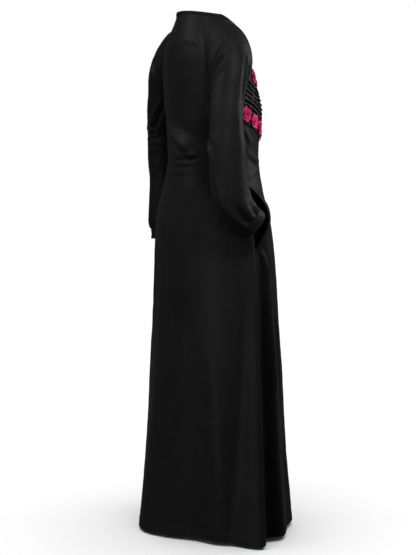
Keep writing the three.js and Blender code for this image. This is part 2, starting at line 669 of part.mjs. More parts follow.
// One applique flower: petals round a dished centre, laid on the band.
function flower(off, centreZ, turn) {
  const z0 = bandHeight(centreZ, off);
  const base = BAND.lift * 2 + BAND.wall;
  const around = FLOWER.petals * 3;
  const perDegree = offFront(180.5 + off, z0, base).distanceTo(offFront(179.5 + off, z0, base));
  const place = (r, a, out) =>
    offFront(180 + off + (r * Math.sin(a)) / perDegree, z0 + r * Math.cos(a), base + out);
  const ring = (share, depth, notch, rise) =>
    Array.from({ length: around }, (_, i) => {
      const between = i % 3 === 0;
      const r = FLOWER.radius * share * (between ? notch : 1);
      return place(r, turn - (i / around) * 2 * Math.PI, depth + rise * (between ? 0.4 : 1));
    });
  const rings = [
    ring(1, 0, 0.68, 0),
    ring(1, FLOWER.thick, 0.68, 0),
    ring(0.55, FLOWER.thick, 0.9, FLOWER.rise),
  ];
  const points = [];
  rings.flat().forEach((p) => points.push(p.x, p.y, p.z));
  const bottom = points.length / 3;
  const under = place(0, 0, 0);
  const top = place(0, 0, FLOWER.thick + FLOWER.rise * 0.4);
  points.push(under.x, under.y, under.z, top.x, top.y, top.z);
  const faces = [];
  for (let i = 0; i < around; i++) {
    const next = (i + 1) % around;
    faces.push(next, i, bottom);
    for (let k = 0; k < rings.length - 1; k++) {
      const [a, b] = [k * around + i, k * around + next];
      faces.push(a, b, b + around, a, b + around, a + around);
    }
    faces.push(2 * around + i, 2 * around + next, bottom + 1);
  }
  return solid(points, faces);
}

function garment() {
  const group = new THREE.Group();
  const black = new THREE.MeshStandardMaterial({ ...BLACK_CLOTH, name: "black_crepe" });
  const pink = new THREE.MeshStandardMaterial({ ...PINK_FELT, name: "pink_applique" });
  const add = (name, geometry, material = black) => {
    const mesh = new THREE.Mesh(geometry, material);
    mesh.name = name;
    group.add(mesh);
  };
  const sleeves = { right: sleeveGrid(-1, RIGHT_SLEEVE), left: sleeveGrid(1, LEFT_SLEEVE) };
  add("back", bodyPanel(false, sleeves, spread(24, [{ at: 0.96, more: 1.8, over: 0.1 }])));
  add("front", bodyPanel(true, sleeves, spread(27, [{ at: 0.06, more: 1.6, over: 0.12 }])));
  add("sleeve_right", wall(sleeves.right.grid, WALL, { normals: sleeves.right.normals }));
  add("sleeve_left", wall(sleeves.left.grid, WALL, { normals: sleeves.left.normals }));
  add("cuff_right", cuff(-1, RIGHT_SLEEVE));
  add("cuff_left", cuff(1, LEFT_SLEEVE));
  add("neck_binding", neckBinding());
  add("pocket_right", pocketBag(RIGHT_POCKET));
  add("pocket_left", pocketBag(LEFT_POCKET));
  add("chest_band", chestBand());
  for (const [name, row] of [["upper", UPPER_FLOWERS], ["lower", LOWER_FLOWERS]])
    flowerSpots(row).forEach((off, i) => {
      add(`flower_${name}_${i + 1}`, flower(off, row.centre, i * 0.7), pink);
    });
  return group;
}

export default garment();
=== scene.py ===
import json
from collections import namedtuple

import bpy
import numpy as np
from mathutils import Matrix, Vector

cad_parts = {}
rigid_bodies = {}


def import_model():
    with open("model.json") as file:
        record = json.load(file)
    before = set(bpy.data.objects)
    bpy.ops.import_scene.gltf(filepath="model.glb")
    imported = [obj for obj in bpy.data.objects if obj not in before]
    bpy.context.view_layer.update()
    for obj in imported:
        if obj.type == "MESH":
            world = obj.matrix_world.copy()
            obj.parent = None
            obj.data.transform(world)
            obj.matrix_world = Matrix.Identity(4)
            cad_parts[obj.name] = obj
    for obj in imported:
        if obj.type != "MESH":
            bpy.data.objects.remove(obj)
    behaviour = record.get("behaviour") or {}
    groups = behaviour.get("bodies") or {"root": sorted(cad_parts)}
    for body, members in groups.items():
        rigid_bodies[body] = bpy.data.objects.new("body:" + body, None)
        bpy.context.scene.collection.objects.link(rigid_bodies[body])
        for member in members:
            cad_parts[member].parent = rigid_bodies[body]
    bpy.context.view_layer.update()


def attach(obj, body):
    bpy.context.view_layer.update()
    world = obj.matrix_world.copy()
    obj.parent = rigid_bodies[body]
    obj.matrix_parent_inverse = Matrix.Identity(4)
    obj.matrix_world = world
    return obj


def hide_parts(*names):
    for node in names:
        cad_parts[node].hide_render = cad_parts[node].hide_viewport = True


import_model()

# THE BACK. One panel of black satin-backed crepe from the neck to the hem, cut wide at the bottom.
# It is sewn to the sleeves along the raglan seams and to the front down the sides, and turned up at
# the hem. Sizes are millimetres; angles run round the body from the centre back by the right side.
HEM_Z, UNDERARM_Z = -1470.0, -215.0
CLOTH, TURN_UP = 0.8, 28.0  # thickness, depth of the hem
SEAM_GAP = 0.02  # degrees left between two panels
BODY = [  # height, half width, depth at which it is widest, foremost, rearmost
    (-1470, 262, -33, -243, 178), (-1394, 255, -33, -238, 174), (-1248, 243, -33, -226, 163),
    (-1103, 233, -33, -222, 154), (-957, 224, -32, -215, 146), (-811, 216, -31, -206, 140),
    (-665, 208, -30, -194, 135), (-578, 200, -26, -182, 131), (-490, 180, -20, -161, 112),
    (-440, 165, -14, -156, 100), (-388, 155, -8, -154, 94), (-310, 158, 0, -157, 96),
    (-257, 160, 6, -158, 99), (-215, 160, 12, -149, 103), (-170, 158, 12, -137, 107),
    (-120, 152, 10, -128, 108), (-75, 139, 6, -112, 104), (-40, 118, 3, -96, 96),
    (0, 94, 1, -79, 83), (30, 86, 0, -74, 75),
]
NECK_BACK, NECK_SIDE, NECK_FRONT = 14.0, 2.0, -52.0
SIDE_SEAM = [(-1470, 89), (-1130, 92), (-850, 94), (-620, 97), (-480, 98), (-350, 92), (-215, 82)]
RAGLAN = [  # share of the way from underarm to neck, angle of the back seam, of the front one
    (0, 82, 82), (0.06, 76, 88), (0.14, 69, 97), (0.24, 62.5, 107), (0.36, 58, 116), (0.5, 56, 122),
    (0.64, 55.5, 125), (0.78, 56.5, 124), (0.9, 58.5, 122), (1, 60, 120),
]
SKIRT_FOLDS = [  # where it starts, angle there, angle at the hem, spread, depth, lean, how late
    (-500, 93, 84, 8, 40, 17, 0.8), (-560, 104, 101, 7, -9, 0, 0.4), (-540, 114, 114, 8, 11, 0, 0.5),
    (-700, 78, 69, 8, -10, 0, 1.2), (-620, 34, 40, 20, -33, 0, 1.8), (-560, 4, -4, 15, 24, 0, 1.7),
    (-650, -54, -52, 14, -22, 0, 1.4), (-590, -86, -79, 9, 31, -12, 1),
    (-640, -104, -101, 8, -12, 0, 0.8), (-720, -120, -119, 9, 13, 0, 1),
    (-700, -142, -144, 12, -15, 0, 1.2), (-640, -170, -167, 11, 14, 0, 1.2),
    (-760, 176, 174, 10, -13, 0, 1.2), (-660, 152, 156, 10, 12, 0, 1.3),
    (-740, 134, 136, 9, -8, 0, 1.1),
]
HEM_DROPS = [(78, 8, 9), (-2, 5, 38)]  # angle, drop, spread
Pocket = namedtuple("Pocket", "side top bottom forward proud gape")
POCKETS = {  # the front edge of its mouth is drawn forward, in degrees, and stands proud of the body
    "right": Pocket(1, -466, -655, 19, 20, 36),
    "left": Pocket(-1, -472, -636, 3, 3, 11),
}
BACK_CREASES = [  # path of (angle, height), width above or left and below or right, depth
    ([(-24, -300), (-8, -325), (8, -346), (20, -364), (28, -380)], (22, 7), 12.5),
    ([(-28, -328), (-10, -347), (5, -368), (17, -385), (26, -398)], (4, 8), -11.5),
    ([(-22, -391), (2, -397), (22, -397), (40, -390)], (6, 4), -8),
    ([(4, -384), (22, -387), (46, -376)], (8, 4), 4.5),
    ([(-24, -406), (0, -409), (24, -407), (40, -400)], (5, 5), 4.2),
    ([(-24, -418), (-2, -421), (24, -419)], (5, 5), -3.6),
    ([(-20, -431), (2, -434), (26, -429)], (6, 6), 2.8),
    ([(-12, -445), (10, -447), (28, -440)], (6, 7), -2.2),
    ([(-76, -322), (-62, -346), (-48, -362), (-38, -372)], (12, 7), 5),
    ([(-78, -338), (-62, -364), (-46, -380)], (5, 7), -5),
    ([(-70, -392), (-50, -400), (-30, -402)], (6, 6), -3),
    ([(-82, -405), (-60, -414), (-36, -417)], (7, 6), 2.4),
    ([(60, -330), (70, -352), (82, -368)], (9, 6), 3.2),
    ([(56, -362), (70, -380), (84, -390)], (6, 7), -3),
    ([(-26, -560), (-23, -650), (-22, -760), (-24, -900)], (16, 11), 2.6),
    ([(-4, -740), (-2, -860), (-2, -960)], (12, 9), 1.6),
    ([(17, -700), (17, -800), (16, -930), (14, -1050)], (10, 12), -1.8),
    ([(26, -820), (25, -940), (24, -1060)], (12, 9), 1.5),
    ([(50, -880), (54, -1040), (57, -1230), (59, -1400)], (24, 18), 3),
    ([(46, -270), (56, -340), (64, -410), (72, -470), (78, -560)], (20, 52), -26),
    ([(85, -740), (82, -880), (79, -1039), (76, -1200), (74, -1390)], (13, 11), -4),
    ([(-40, -840), (-38, -1000), (-37, -1180)], (17, 13), 3),
    ([(-66, -760), (-64, -900), (-63, -1080), (-62, -1260)], (12, 15), 3.5),
    ([(80, -500), (74, -545), (66, -575), (56, -590)], (9, 13), -2.6),
    ([(84, -470), (76, -512), (66, -540)], (10, 8), 2.4),
    ([(70, -268), (64, -236), (58, -208)], (9, 12), -3.2),
    ([(60, -300), (53, -262), (48, -225), (46, -190)], (13, 11), 2.2),
    ([(14, -262), (20, -236), (25, -214)], (8, 5), 1.7),
    ([(-68, -270), (-60, -236), (-54, -205)], (11, 9), -2.6),
    ([(-56, -286), (-48, -248), (-43, -208)], (10, 12), 2),
    ([(-44, -48), (-28, -44), (-12, -42), (6, -46)], (7, 9), 1.6),
    ([(-50, -66), (-30, -64), (-10, -63)], (8, 7), -1.3),
    ([(20, -60), (36, -66), (50, -84)], (9, 7), 1.4),
]


def curve(table, column):
    """A smooth curve through one column of a table, read at any value of its first."""
    rows = sorted(table)
    at = np.array([row[0] for row in rows], float)
    value = np.array([row[column] for row in rows], float)
    step = np.diff(value) / np.diff(at)
    slope = np.concatenate([step[:1], np.zeros(len(at) - 2), step[-1:]])
    for i in range(1, len(at) - 1):
        if step[i - 1] * step[i] > 0:
            slope[i] = 2 * step[i - 1] * step[i] / (step[i - 1] + step[i])

    def read(x):
        here = np.clip(x, at[0], at[-1])
        i = np.clip(np.searchsorted(at, here, side="right") - 1, 0, len(at) - 2)
        h = at[i + 1] - at[i]
        s = (here - at[i]) / h
        ends = value[i] * (1 + 2 * s) * (1 - s) ** 2 + value[i + 1] * s * s * (3 - 2 * s)
        return ends + h * s * (1 - s) * (slope[i] * (1 - s) - slope[i + 1] * s)

    return read


def smooth(x):
    x = np.clip(x, 0, 1)
    return x * x * (3 - 2 * x)


def bell(x):
    return np.exp(-x * x)


def mix(a, b, share):
    return a + (b - a) * share


def unit(v):
    return v / np.maximum(np.linalg.norm(v, axis=-1, keepdims=True), 1e-9)


def apart(a, b):
    """Degrees from b to a, the short way round."""
    return (a - b + 180) % 360 - 180


half_width, widest_at, foremost, rearmost = (curve(BODY, i) for i in (1, 2, 3, 4))
seam_angle = curve(SIDE_SEAM, 1)
raglan_back, raglan_front = curve(RAGLAN, 1), curve(RAGLAN, 2)


def body_form(angle, z):
    c = np.cos(np.radians(angle))
    mid = widest_at(z)
    reach = np.where(c >= 0, rearmost(z) - mid, mid - foremost(z))
    return np.stack([-half_width(z) * np.sin(np.radians(angle)), mid + reach * c, z + 0 * c], -1)


def neck_height(angle):
    c = np.cos(np.radians(angle))
    rise = np.where(c >= 0, NECK_BACK - NECK_SIDE, NECK_SIDE - NECK_FRONT)
    return NECK_SIDE + rise * c * np.abs(c) ** 0.4


def mouth(pocket, z):
    """0 to 1 to 0 down a pocket's mouth."""
    down = np.clip((pocket.top - z) / (pocket.top - pocket.bottom), 0, 1)
    return np.sin(np.pi * down**0.8) ** 1.2


def mouth_edge(pocket, z):
    """Angle of its front edge."""
    return seam_angle(z) + pocket.forward * mouth(pocket, z)


def skirt(angle, z, is_front):
    """Body cloth below the underarm, with the folds that flare into the hem."""
    p = body_form(angle, z)
    outward = unit((p - np.stack([0 * z, widest_at(z), z], -1)) * [1, 1, 0])
    forward = np.stack([-outward[..., 1], outward[..., 0], 0 * z], -1)
    out, along = 0 * z, 0 * z
    for top, at_top, at_hem, spread, depth, lean, late in SKIRT_FOLDS:
        down = np.clip((top - z) / (top - HEM_Z), 0, None)
        off = apart(angle, mix(at_top, at_hem, down)) / (spread * mix(0.55, 1, down))
        swell = smooth(down * 4) * down**late * bell(off)
        out, along = out + depth * swell, along + lean * swell
    if is_front:
        for pocket in POCKETS.values():
            off = (pocket.side * apart(angle, 0) - mouth_edge(pocket, z)) / 12
            out = out + pocket.proud * mouth(pocket, z) * bell(off)
    down = np.clip((UNDERARM_Z - z) / (UNDERARM_Z - HEM_Z), 0, None)
    for at, depth, spread in HEM_DROPS:
        p[..., 2] -= depth * down**4 * bell(apart(angle, at) / spread)
    return p + outward * out[..., None] + forward * along[..., None]


def body_cloth(angle, level, is_front=False):
    """The body's cloth anywhere. level is -1 at the hem, 0 at the underarm and 1 at the neck."""
    angle, level = np.broadcast_arrays(np.asarray(angle, float), np.asarray(level, float))
    low = skirt(angle, mix(UNDERARM_Z, HEM_Z, -np.minimum(level, 0)), is_front)
    high = body_form(angle, mix(UNDERARM_Z, neck_height(angle), np.maximum(level, 0)))
    return np.where((level <= 0)[..., None], low, high)


def body_normal(angle, level, is_front=False):
    across = body_cloth(angle + 0.6, level, is_front) - body_cloth(angle - 0.6, level, is_front)
    up = body_cloth(angle, level + 0.004, is_front) - body_cloth(angle, level - 0.004, is_front)
    return unit(np.cross(across, up))


def outward_of(grid, ring=False):
    across = np.roll(grid, -1, 1) - np.roll(grid, 1, 1) if ring else np.gradient(grid, axis=1)
    return unit(np.cross(across, np.gradient(grid, axis=0)))


def lengths(grid, axis):
    """How far along its rows or columns each point of a grid lies."""
    step = np.linalg.norm(np.diff(grid, axis=axis), axis=2)
    pad = [(1, 0), (0, 0)] if axis == 0 else [(0, 0), (1, 0)]
    return np.pad(np.cumsum(step, axis=axis), pad)


def run_along(line):
    """How far along a line each of its points lies."""
    return np.concatenate([[0], np.cumsum(np.linalg.norm(np.diff(line, axis=0), axis=1))])


def carried_on(path):
    """A path with one more point at each end, straight ahead."""
    return np.concatenate([[2 * path[0] - path[1]], path, [2 * path[-1] - path[-2]]])


def rounded(path, steps=9):
    """A smooth line through a few points."""
    path = np.array(path, float)
    ends = carried_on(path)
    line = []
    for i in range(len(path) - 1):
        a, b, c, d = ends[i : i + 4]
        for t in np.arange(steps) / steps:
            line.append(
                b + 0.5 * t * (c - a + t * (2 * a - 5 * b + 4 * c - d + t * (3 * (b - c) + d - a)))
            )
    return np.array(line + [path[-1]])


def crease(x, y, path, wide, depth, fade=0.35):
    """A fold pressed into cloth: a ridge where depth is above 0, a furrow where it is below. It is as
    wide as the two numbers on its left and right and fades at both ends."""
    line = rounded(path)
    reach = 3 * max(wide)
    low, high = line.min(0) - reach, line.max(0) + reach
    near = (x > low[0]) & (x < high[0]) & (y > low[1]) & (y < high[1])
    px, py = x[near], y[near]
    best, side, run = np.full(px.shape, 1e9), np.zeros(px.shape), np.zeros(px.shape)
    for i in range(len(line) - 1):
        (ax, ay), (bx, by) = line[i], line[i + 1]
        dx, dy = bx - ax, by - ay
        t = np.clip(((px - ax) * dx + (py - ay) * dy) / max(dx * dx + dy * dy, 1e-9), 0, 1)
        far = np.hypot(px - ax - t * dx, py - ay - t * dy)
        closer = far < best
        best = np.where(closer, far, best)
        side = np.where(closer, dx * (py - ay) - dy * (px - ax), side)
        run = np.where(closer, (i + t) / (len(line) - 1), run)
    off = best / np.where(side > 0, wide[0], wide[1])
    shape = bell(off) - 0.28 * np.exp(-1.6 * (off - 1.9) ** 2)
    out = np.zeros(x.shape)
    out[near] = depth * shape * smooth(run / fade) * smooth((1 - run) / fade)
    return out


def body_creases(angle, z, creases):
    out = np.zeros(angle.shape)
    for path, wide, depth in creases:
        middle, height = np.mean(path, axis=0)
        a, b = body_form(np.array([middle - 0.5, middle + 0.5]), np.array([height, height]))
        per_degree = np.linalg.norm(b - a)
        flat = [((angle_ - middle) * per_degree, z_) for angle_, z_ in path]
        out += crease(apart(angle, middle) * per_degree, z, flat, wide, depth)
    return out


def unevenness(x, y, longest, seed, tall=1.0):
    """The slight swell of hanging cloth, from about -1 to 1, in which no two places are alike."""
    chance = np.random.default_rng(seed)
    total = 0
    for _ in range(7):
        turn, start = chance.uniform(0, 2 * np.pi, 2)
        wave = 2 * np.pi / (longest * chance.uniform(0.4, 1))
        total = total + np.sin((x * np.cos(turn) + y * np.sin(turn) / tall) * wave + start)
    return total / 3.5


def squares(index, ring):
    """The faces over a grid of point numbers, and the closed loops along its edges."""
    wrap = np.concatenate([index, index[:, :1]], 1) if ring else index
    faces = np.stack([wrap[:-1, :-1], wrap[:-1, 1:], wrap[1:, 1:], wrap[1:, :-1]], -1)
    around = np.concatenate([index[0], index[1:, -1], index[-1, -2::-1], index[-2:0:-1, 0]])
    loops = [wrap[0], wrap[-1][::-1]] if ring else [np.append(around, around[0])]
    return faces.reshape(-1, 4), loops


def sew(name, grid, thick, finish, ring=False, shut=False, under=None):
    """A piece of cloth as a thin closed shell with rounded edges, from its outer points, in rows from
    the bottom up. ring joins each row's ends, and shut closes the last row on its middle. Its inner
    side is under, or lies its thickness below."""
    rows, cols = grid.shape[:2]
    thick = np.broadcast_to(np.asarray(thick, float), (rows, cols))[..., None]
    inner = grid - outward_of(grid, ring) * thick if under is None else under
    outer, loops = squares(np.arange(rows * cols).reshape(rows, cols), ring)
    faces = [outer, outer[:, [1, 0, 3, 2]] + rows * cols]
    points = [grid.reshape(-1, 3), inner.reshape(-1, 3)]
    count = 2 * rows * cols
    edges = [(loops[0], grid[0] - grid[1] if ring else None)]
    if ring and not shut:
        edges.append((loops[1], grid[-1] - grid[-2]))
    for loop, away in edges:
        loop = loop[:-1]
        outer_edge, inner_edge = points[0][loop], points[1][loop]
        if away is None:
            step = np.roll(outer_edge, -1, 0) - np.roll(outer_edge, 1, 0)
            away = np.cross(step, outer_edge - inner_edge)
        else:
            away = away.reshape(-1, 3)[loop % cols]
        bulge = np.linalg.norm(outer_edge - inner_edge, axis=1, keepdims=True) * 0.45
        points.append((outer_edge + inner_edge) / 2 + unit(away) * bulge)
        rim = count + np.arange(len(loop))
        count += len(loop)
        following, rim_next = np.roll(loop, -1), np.roll(rim, -1)
        faces.append(np.stack([following, loop, rim, rim_next], -1))
        faces.append(np.stack([rim_next, rim, loop + rows * cols, following + rows * cols], -1))
    faces = np.concatenate(faces).tolist()
    if shut:
        points.append(np.stack([grid[-1].mean(0), inner[-1].mean(0)]))
        last = loops[1][::-1].tolist()
        for one, two in zip(last, last[1:]):
            faces.append([one, two, count])
            faces.append([two + rows * cols, one + rows * cols, count + 1])
    return piece(name, np.concatenate(points), faces, finish)


def piece(name, points, faces, *finishes):
    mesh = bpy.data.meshes.new(name)
    mesh.from_pydata((points * 0.001).tolist(), [], faces)
    mesh.shade_smooth()
    for finish in finishes:
        mesh.materials.append(finish)
    made = bpy.data.objects.new(name, mesh)
    bpy.context.scene.collection.objects.link(made)
    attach(made, "root")
    return made


class Wire:
    """A value in a material. Arithmetic on it adds Math nodes, and node() adds any other node."""

    def __init__(self, tree, socket=None):
        self.tree, self.socket = tree, socket

    def node(self, kind, settings=None, out=0, stops=None, **values):
        made = self.tree.nodes.new("ShaderNode" + kind)
        for key, value in (settings or {}).items():
            setattr(made, key, value)
        if stops:
            ramp = made.color_ramp.elements
            while len(ramp) < len(stops):
                ramp.new(1)
            for element, (place, shade) in zip(ramp, stops):
                element.position, element.color = place, (shade, shade, shade, 1)
        for key, value in values.items():
            socket = made.inputs[int(key[1:]) if key[1:].isdigit() else key.replace("_", " ")]
            if isinstance(value, Wire):
                self.tree.links.new(value.socket, socket)
            else:
                socket.default_value = value
        return Wire(self.tree, made.outputs[out]) if made.outputs else Wire(self.tree)

    def math(self, operation, a, b):
        return self.node("Math", {"operation": operation}, i0=a, i1=b)

    def __add__(self, other):
        return self.math("ADD", self, other)

    def __mul__(self, other):
        return self.math("MULTIPLY", self, other)

    def __sub__(self, other):
        return self.math("SUBTRACT", self, other)

    def __pow__(self, other):
        return self.math("POWER", self, other)

    __radd__ = __add__

    def noise(self, scale, detail, **more):
        return self.node("TexNoise", Vector=self, Scale=scale, Detail=detail, **more)

    def blend(self, dark, light, **settings):
        """A colour between two, by this value."""
        settings["data_type"] = "RGBA"
        return self.node("Mix", settings, out=2, i0=self, i6=dark, i7=light)

    def surface(self, **look):
        self.node("OutputMaterial", Surface=self.node("BsdfPrincipled", **look))


def new_finish(name):
    """An empty material, and the place on the object to work it out from."""
    finish = bpy.data.materials.new(name)
    finish.use_nodes = True
    finish.node_tree.nodes.clear()
    return finish, Wire(finish.node_tree).node("TexCoord", out=3)


def black_crepe(name, dark, light, roughness, grain):
    """Black crepe: pebbled by its twisted yarn, with faint lengthwise slubs and a low satin sheen."""
    finish, place = new_finish(name)
    along = place.node("VectorMath", {"operation": "MULTIPLY"}, i0=place, i1=(1.0, 1.0, 0.12))
    pebble, yarn = place.noise(1500.0, 2.0, Roughness=0.6), along.noise(2600.0, 1.0)
    slub, patch = along.noise(420.0, 3.0, Roughness=0.55), place.noise(7.0, 2.0)
    weave = pebble * 0.6 + yarn * 0.4
    tone = weave * 0.62 + slub * 0.2 + patch * 0.18
    contrast = place.node("ValToRGB", stops=[(0.36, 0.0), (0.64, 1.0)], Fac=tone)
    uneven = roughness + (patch - 0.5) * 0.12 + (slub - 0.5) * 0.06 + (weave - 0.5) * 0.08
    relief = weave * 0.8 + slub * 0.2
    place.surface(
        Base_Color=contrast.blend((*dark, 1.0), (*light, 1.0)), Roughness=uneven,
        Normal=place.node("Bump", Height=relief, Strength=grain, Distance=0.0004),
        Specular_IOR_Level=0.035, Sheen_Weight=0.008, Sheen_Roughness=0.4,
        Sheen_Tint=(0.7, 0.72, 0.78, 1.0),
    )
    return finish


crepe = black_crepe("crepe", (0.0028, 0.0028, 0.0031), (0.0078, 0.0078, 0.0086), 0.5, 0.35)


def seam(far, up, level, tug, wander, longest, seed):
    """A seam pressed open: a groove at the edge, the turned allowance under the cloth beside it, and
    the puckers that its thread pulls. It fades at the underarm, where panels meet at an angle."""
    flat = np.where(level > 0, smooth(level / 0.35), smooth(-level / 0.04))
    pressed = flat * (-0.9 * bell(far / 1.6) + 0.3 * bell((far - 6) / 4))
    wave = np.sin(up / 1.9 + wander * unevenness(up, far, longest, seed))
    return pressed + tug * wave * bell(far / 8) * smooth(far / 2)


def body_panel(is_front, columns, creases, seed):
    """Angles, heights and cloth of the back or the front, its normals, how far its creases, seams and
    hem stand out, and how far each point is from its left seam, its right seam and the hem."""
    skirt_z = np.concatenate([
        HEM_Z + np.array([0, 1.2, 3, 6, 10, 15, 20, 24, 26.5, 28, 29.5, 32, 36]),
        np.linspace(HEM_Z + 42, UNDERARM_Z, 204),
    ])
    levels = (skirt_z - UNDERARM_Z) / (UNDERARM_Z - HEM_Z)
    levels = np.concatenate([levels, np.linspace(0, 1, 46)[1:]])
    z = mix(UNDERARM_Z, HEM_Z, -np.minimum(levels, 0))
    if is_front:
        sides = "right", "left"
        low, high = (mouth_edge(POCKETS[side], z) for side in sides)
        first = np.where(levels > 0, raglan_front(levels), low)
        last = np.where(levels > 0, 360 - raglan_front(levels), 360 - high)
    else:
        sides = "left", "right"
        first = np.where(levels > 0, -raglan_back(levels), -seam_angle(z))
        last = np.where(levels > 0, raglan_back(levels), seam_angle(z))
    angle = mix(first[:, None] + SEAM_GAP, last[:, None] - SEAM_GAP, columns[None, :])
    level = np.broadcast_to(levels[:, None], angle.shape)
    grid = body_cloth(angle, level, is_front)
    across, up = lengths(grid, 1), lengths(grid, 0)
    left, right = across, across[:, -1:] - across
    height = np.where(level > 0, grid[..., 2], z[:, None])
    out = body_creases(angle, height, creases)
    calm = smooth((height + 420) / 120) * 0.5 + 0.5
    out += 0.9 * unevenness(across, height, 130, seed, 2.4) * calm
    out += 0.28 * unevenness(across, height, 42, seed + 1, 2.0)
    out *= smooth(np.minimum(left, right) / 14)
    rise = np.broadcast_to((z - HEM_Z)[:, None], angle.shape)
    from_stitches = rise - TURN_UP
    out += np.where(from_stitches < 0, 0.35, 0) - 0.35 * bell(from_stitches / 2.2)
    drawn = np.sin(across / 2.1 + unevenness(across, up, 60, seed + 2) * 2)
    out += 0.3 * drawn * bell(from_stitches / 9)
    for far, side in zip((left, right), sides):
        sewn = 1 - smooth(mouth(POCKETS[side], height) * 5) * (level <= 0)
        out += seam(far, up, level, 0.4, 2.5, 55, seed + 3) * sewn
    return angle, height, grid, body_normal(angle, level, is_front), out, (left, right, rise)


def stitching(name, line, normal, pitch=3.4, length=2.4, lift=0.12):
    """A run of machine stitches along a line on the cloth, each a short twist of thread."""
    run = run_along(line)
    at = np.arange(pitch, run[-1] - pitch, pitch)
    place = np.stack([np.interp(at, run, line[:, i]) for i in range(3)], -1)
    ahead = np.stack([np.interp(at + 0.8, run, line[:, i]) for i in range(3)], -1)
    off = unit(np.stack([np.interp(at, run, normal[:, i]) for i in range(3)], -1))
    along = unit(ahead - place)
    across = np.cross(off, along)
    place = place + off * lift
    half = [along * length / 2, across * 0.28, off * 0.26]
    ring = [place + half[1], place + half[2], place - half[1], place - half[2]]
    points = np.stack([place - half[0], *ring, place + half[0]], 1).reshape(-1, 3)
    one = [(0, 2, 1), (0, 3, 2), (0, 4, 3), (0, 1, 4), (5, 1, 2), (5, 2, 3), (5, 3, 4), (5, 4, 1)]
    faces = [[6 * i + v for v in face] for i in range(len(at)) for face in one]
    made = piece(name, points, faces, thread)
    return made


def black_thread():
    """Polyester thread, a little glossier than the cloth."""
    finish, place = new_finish("thread")
    twist = place.noise(4000.0, 1.0)
    place.surface(
        Base_Color=twist.blend((0.003, 0.003, 0.0035, 1.0), (0.011, 0.011, 0.0125, 1.0)),
        Roughness=0.38 + twist * 0.15, Specular_IOR_Level=0.2,
        Normal=place.node("Bump", Height=twist, Strength=0.4, Distance=0.0002),
    )
    return finish


thread = black_thread()


def gathered(count, crowd):
    """Columns over a panel, closer together where folds crowd."""
    w = (np.arange(count) + 0.5) / count
    weight = 1 / (1 + sum(more * bell((w - at) / over) for at, more, over in crowd))
    return np.concatenate([[0], np.cumsum(weight) / weight.sum()])


def hemmed(rise):
    """Thickness of a panel, more where the hem is turned up."""
    return np.where(rise < TURN_UP, CLOTH * 1.9, CLOTH)


PANEL_COLUMNS = 132
columns = gathered(PANEL_COLUMNS, [(0.96, 1.8, 0.09), (0.03, 0.7, 0.08)])
_, _, grid, normal, out, (_, _, rise) = body_panel(False, columns, BACK_CREASES, 11)
back_grid = grid + normal * out[..., None]
back = sew("back_cloth", back_grid, hemmed(rise), crepe)
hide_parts("back")
hem_row = int(np.argmin(np.abs(rise[:, 0] - TURN_UP)))
back_normal = outward_of(back_grid)
back_hem_stitches = stitching("back_hem_stitches", back_grid[hem_row], back_normal[hem_row])

# THE FRONT. One panel like the back, lower at the neck. Its edges are left open down the pocket
# mouths, where they are turned in and topstitched, and the right one is drawn forward and gapes.
FRONT_CREASES = [
    ([(108, -500), (116, -540), (121, -580), (121, -624)], (5, 4), -3.4),
    ([(112, -478), (121, -520), (127, -560), (128, -610)], (5, 6), 3.2),
    ([(116, -468), (128, -505), (135, -545)], (6, 6), -2.2),
    ([(104, -456), (112, -440), (124, -428), (138, -424)], (7, 5), 2.4),
    ([(104, -446), (116, -430), (130, -414)], (5, 5), -2),
    ([(100, -640), (107, -668), (112, -710), (113, -770)], (8, 7), 3.4),
    ([(110, -640), (117, -690), (119, -760)], (9, 7), -2.4),
    ([(112, -830), (115, -960), (118, -1100)], (10, 14), 3),
    ([(128, -780), (131, -900), (134, -1060), (137, -1220)], (16, 12), 3.2),
    ([(148, -700), (149, -840), (150, -1000)], (12, 14), -2.4),
    ([(166, -640), (167, -800), (166, -980)], (16, 13), 2.8),
    ([(186, -700), (186, -880), (187, -1080)], (12, 16), -2.4),
    ([(206, -660), (207, -830), (208, -1020)], (14, 12), 2.6),
    ([(228, -720), (230, -880), (232, -1080)], (12, 14), -2.2),
    ([(246, -600), (250, -660), (252, -740)], (9, 8), 2.6),
    ([(250, -480), (242, -520), (234, -548)], (8, 7), -2),
    ([(112, -372), (124, -392), (138, -402), (152, -404)], (8, 6), 3),
    ([(108, -392), (122, -410), (140, -418)], (5, 7), -2.6),
    ([(206, -400), (222, -396), (238, -384), (250, -370)], (7, 7), 2.8),
    ([(210, -416), (228, -410), (246, -396)], (6, 6), -2.4),
    ([(160, -424), (178, -430), (198, -426)], (7, 7), 1.8),
    ([(166, -442), (182, -446), (200, -442)], (7, 7), -1.5),
    ([(98, -262), (106, -240), (112, -214)], (8, 10), -2.4),
    ([(262, -262), (254, -240), (248, -214)], (10, 8), -2.4),
    ([(104, -300), (112, -330), (118, -360)], (8, 8), 2),
    ([(256, -300), (249, -330), (243, -358)], (8, 8), 2),
    ([(142, -76), (148, -100), (154, -118)], (8, 8), 1.4),
    ([(218, -78), (212, -100), (206, -120)], (8, 8), 1.4),
]
BAND = {"top": -173, "bottom": -366, "sag": 70, "reach": 80, "curve": 1.3}


def band_height(centre, off):
    """Height of a line on the chest band, off degrees from the centre front, where it sags most."""
    return centre + BAND["sag"] * (np.abs(off) / 70) ** BAND["curve"]


def under_band(angle, z):
    """1 under the chest band, where the front lies smooth, and 0 away from it."""
    off = np.abs(apart(angle, 180))
    centre = z - band_height(0, off)
    below_top = smooth((BAND["top"] + 16 - centre) / 12)
    above_bottom = smooth((centre - BAND["bottom"] + 16) / 12)
    return below_top * above_bottom * smooth((86 - off) / 10)


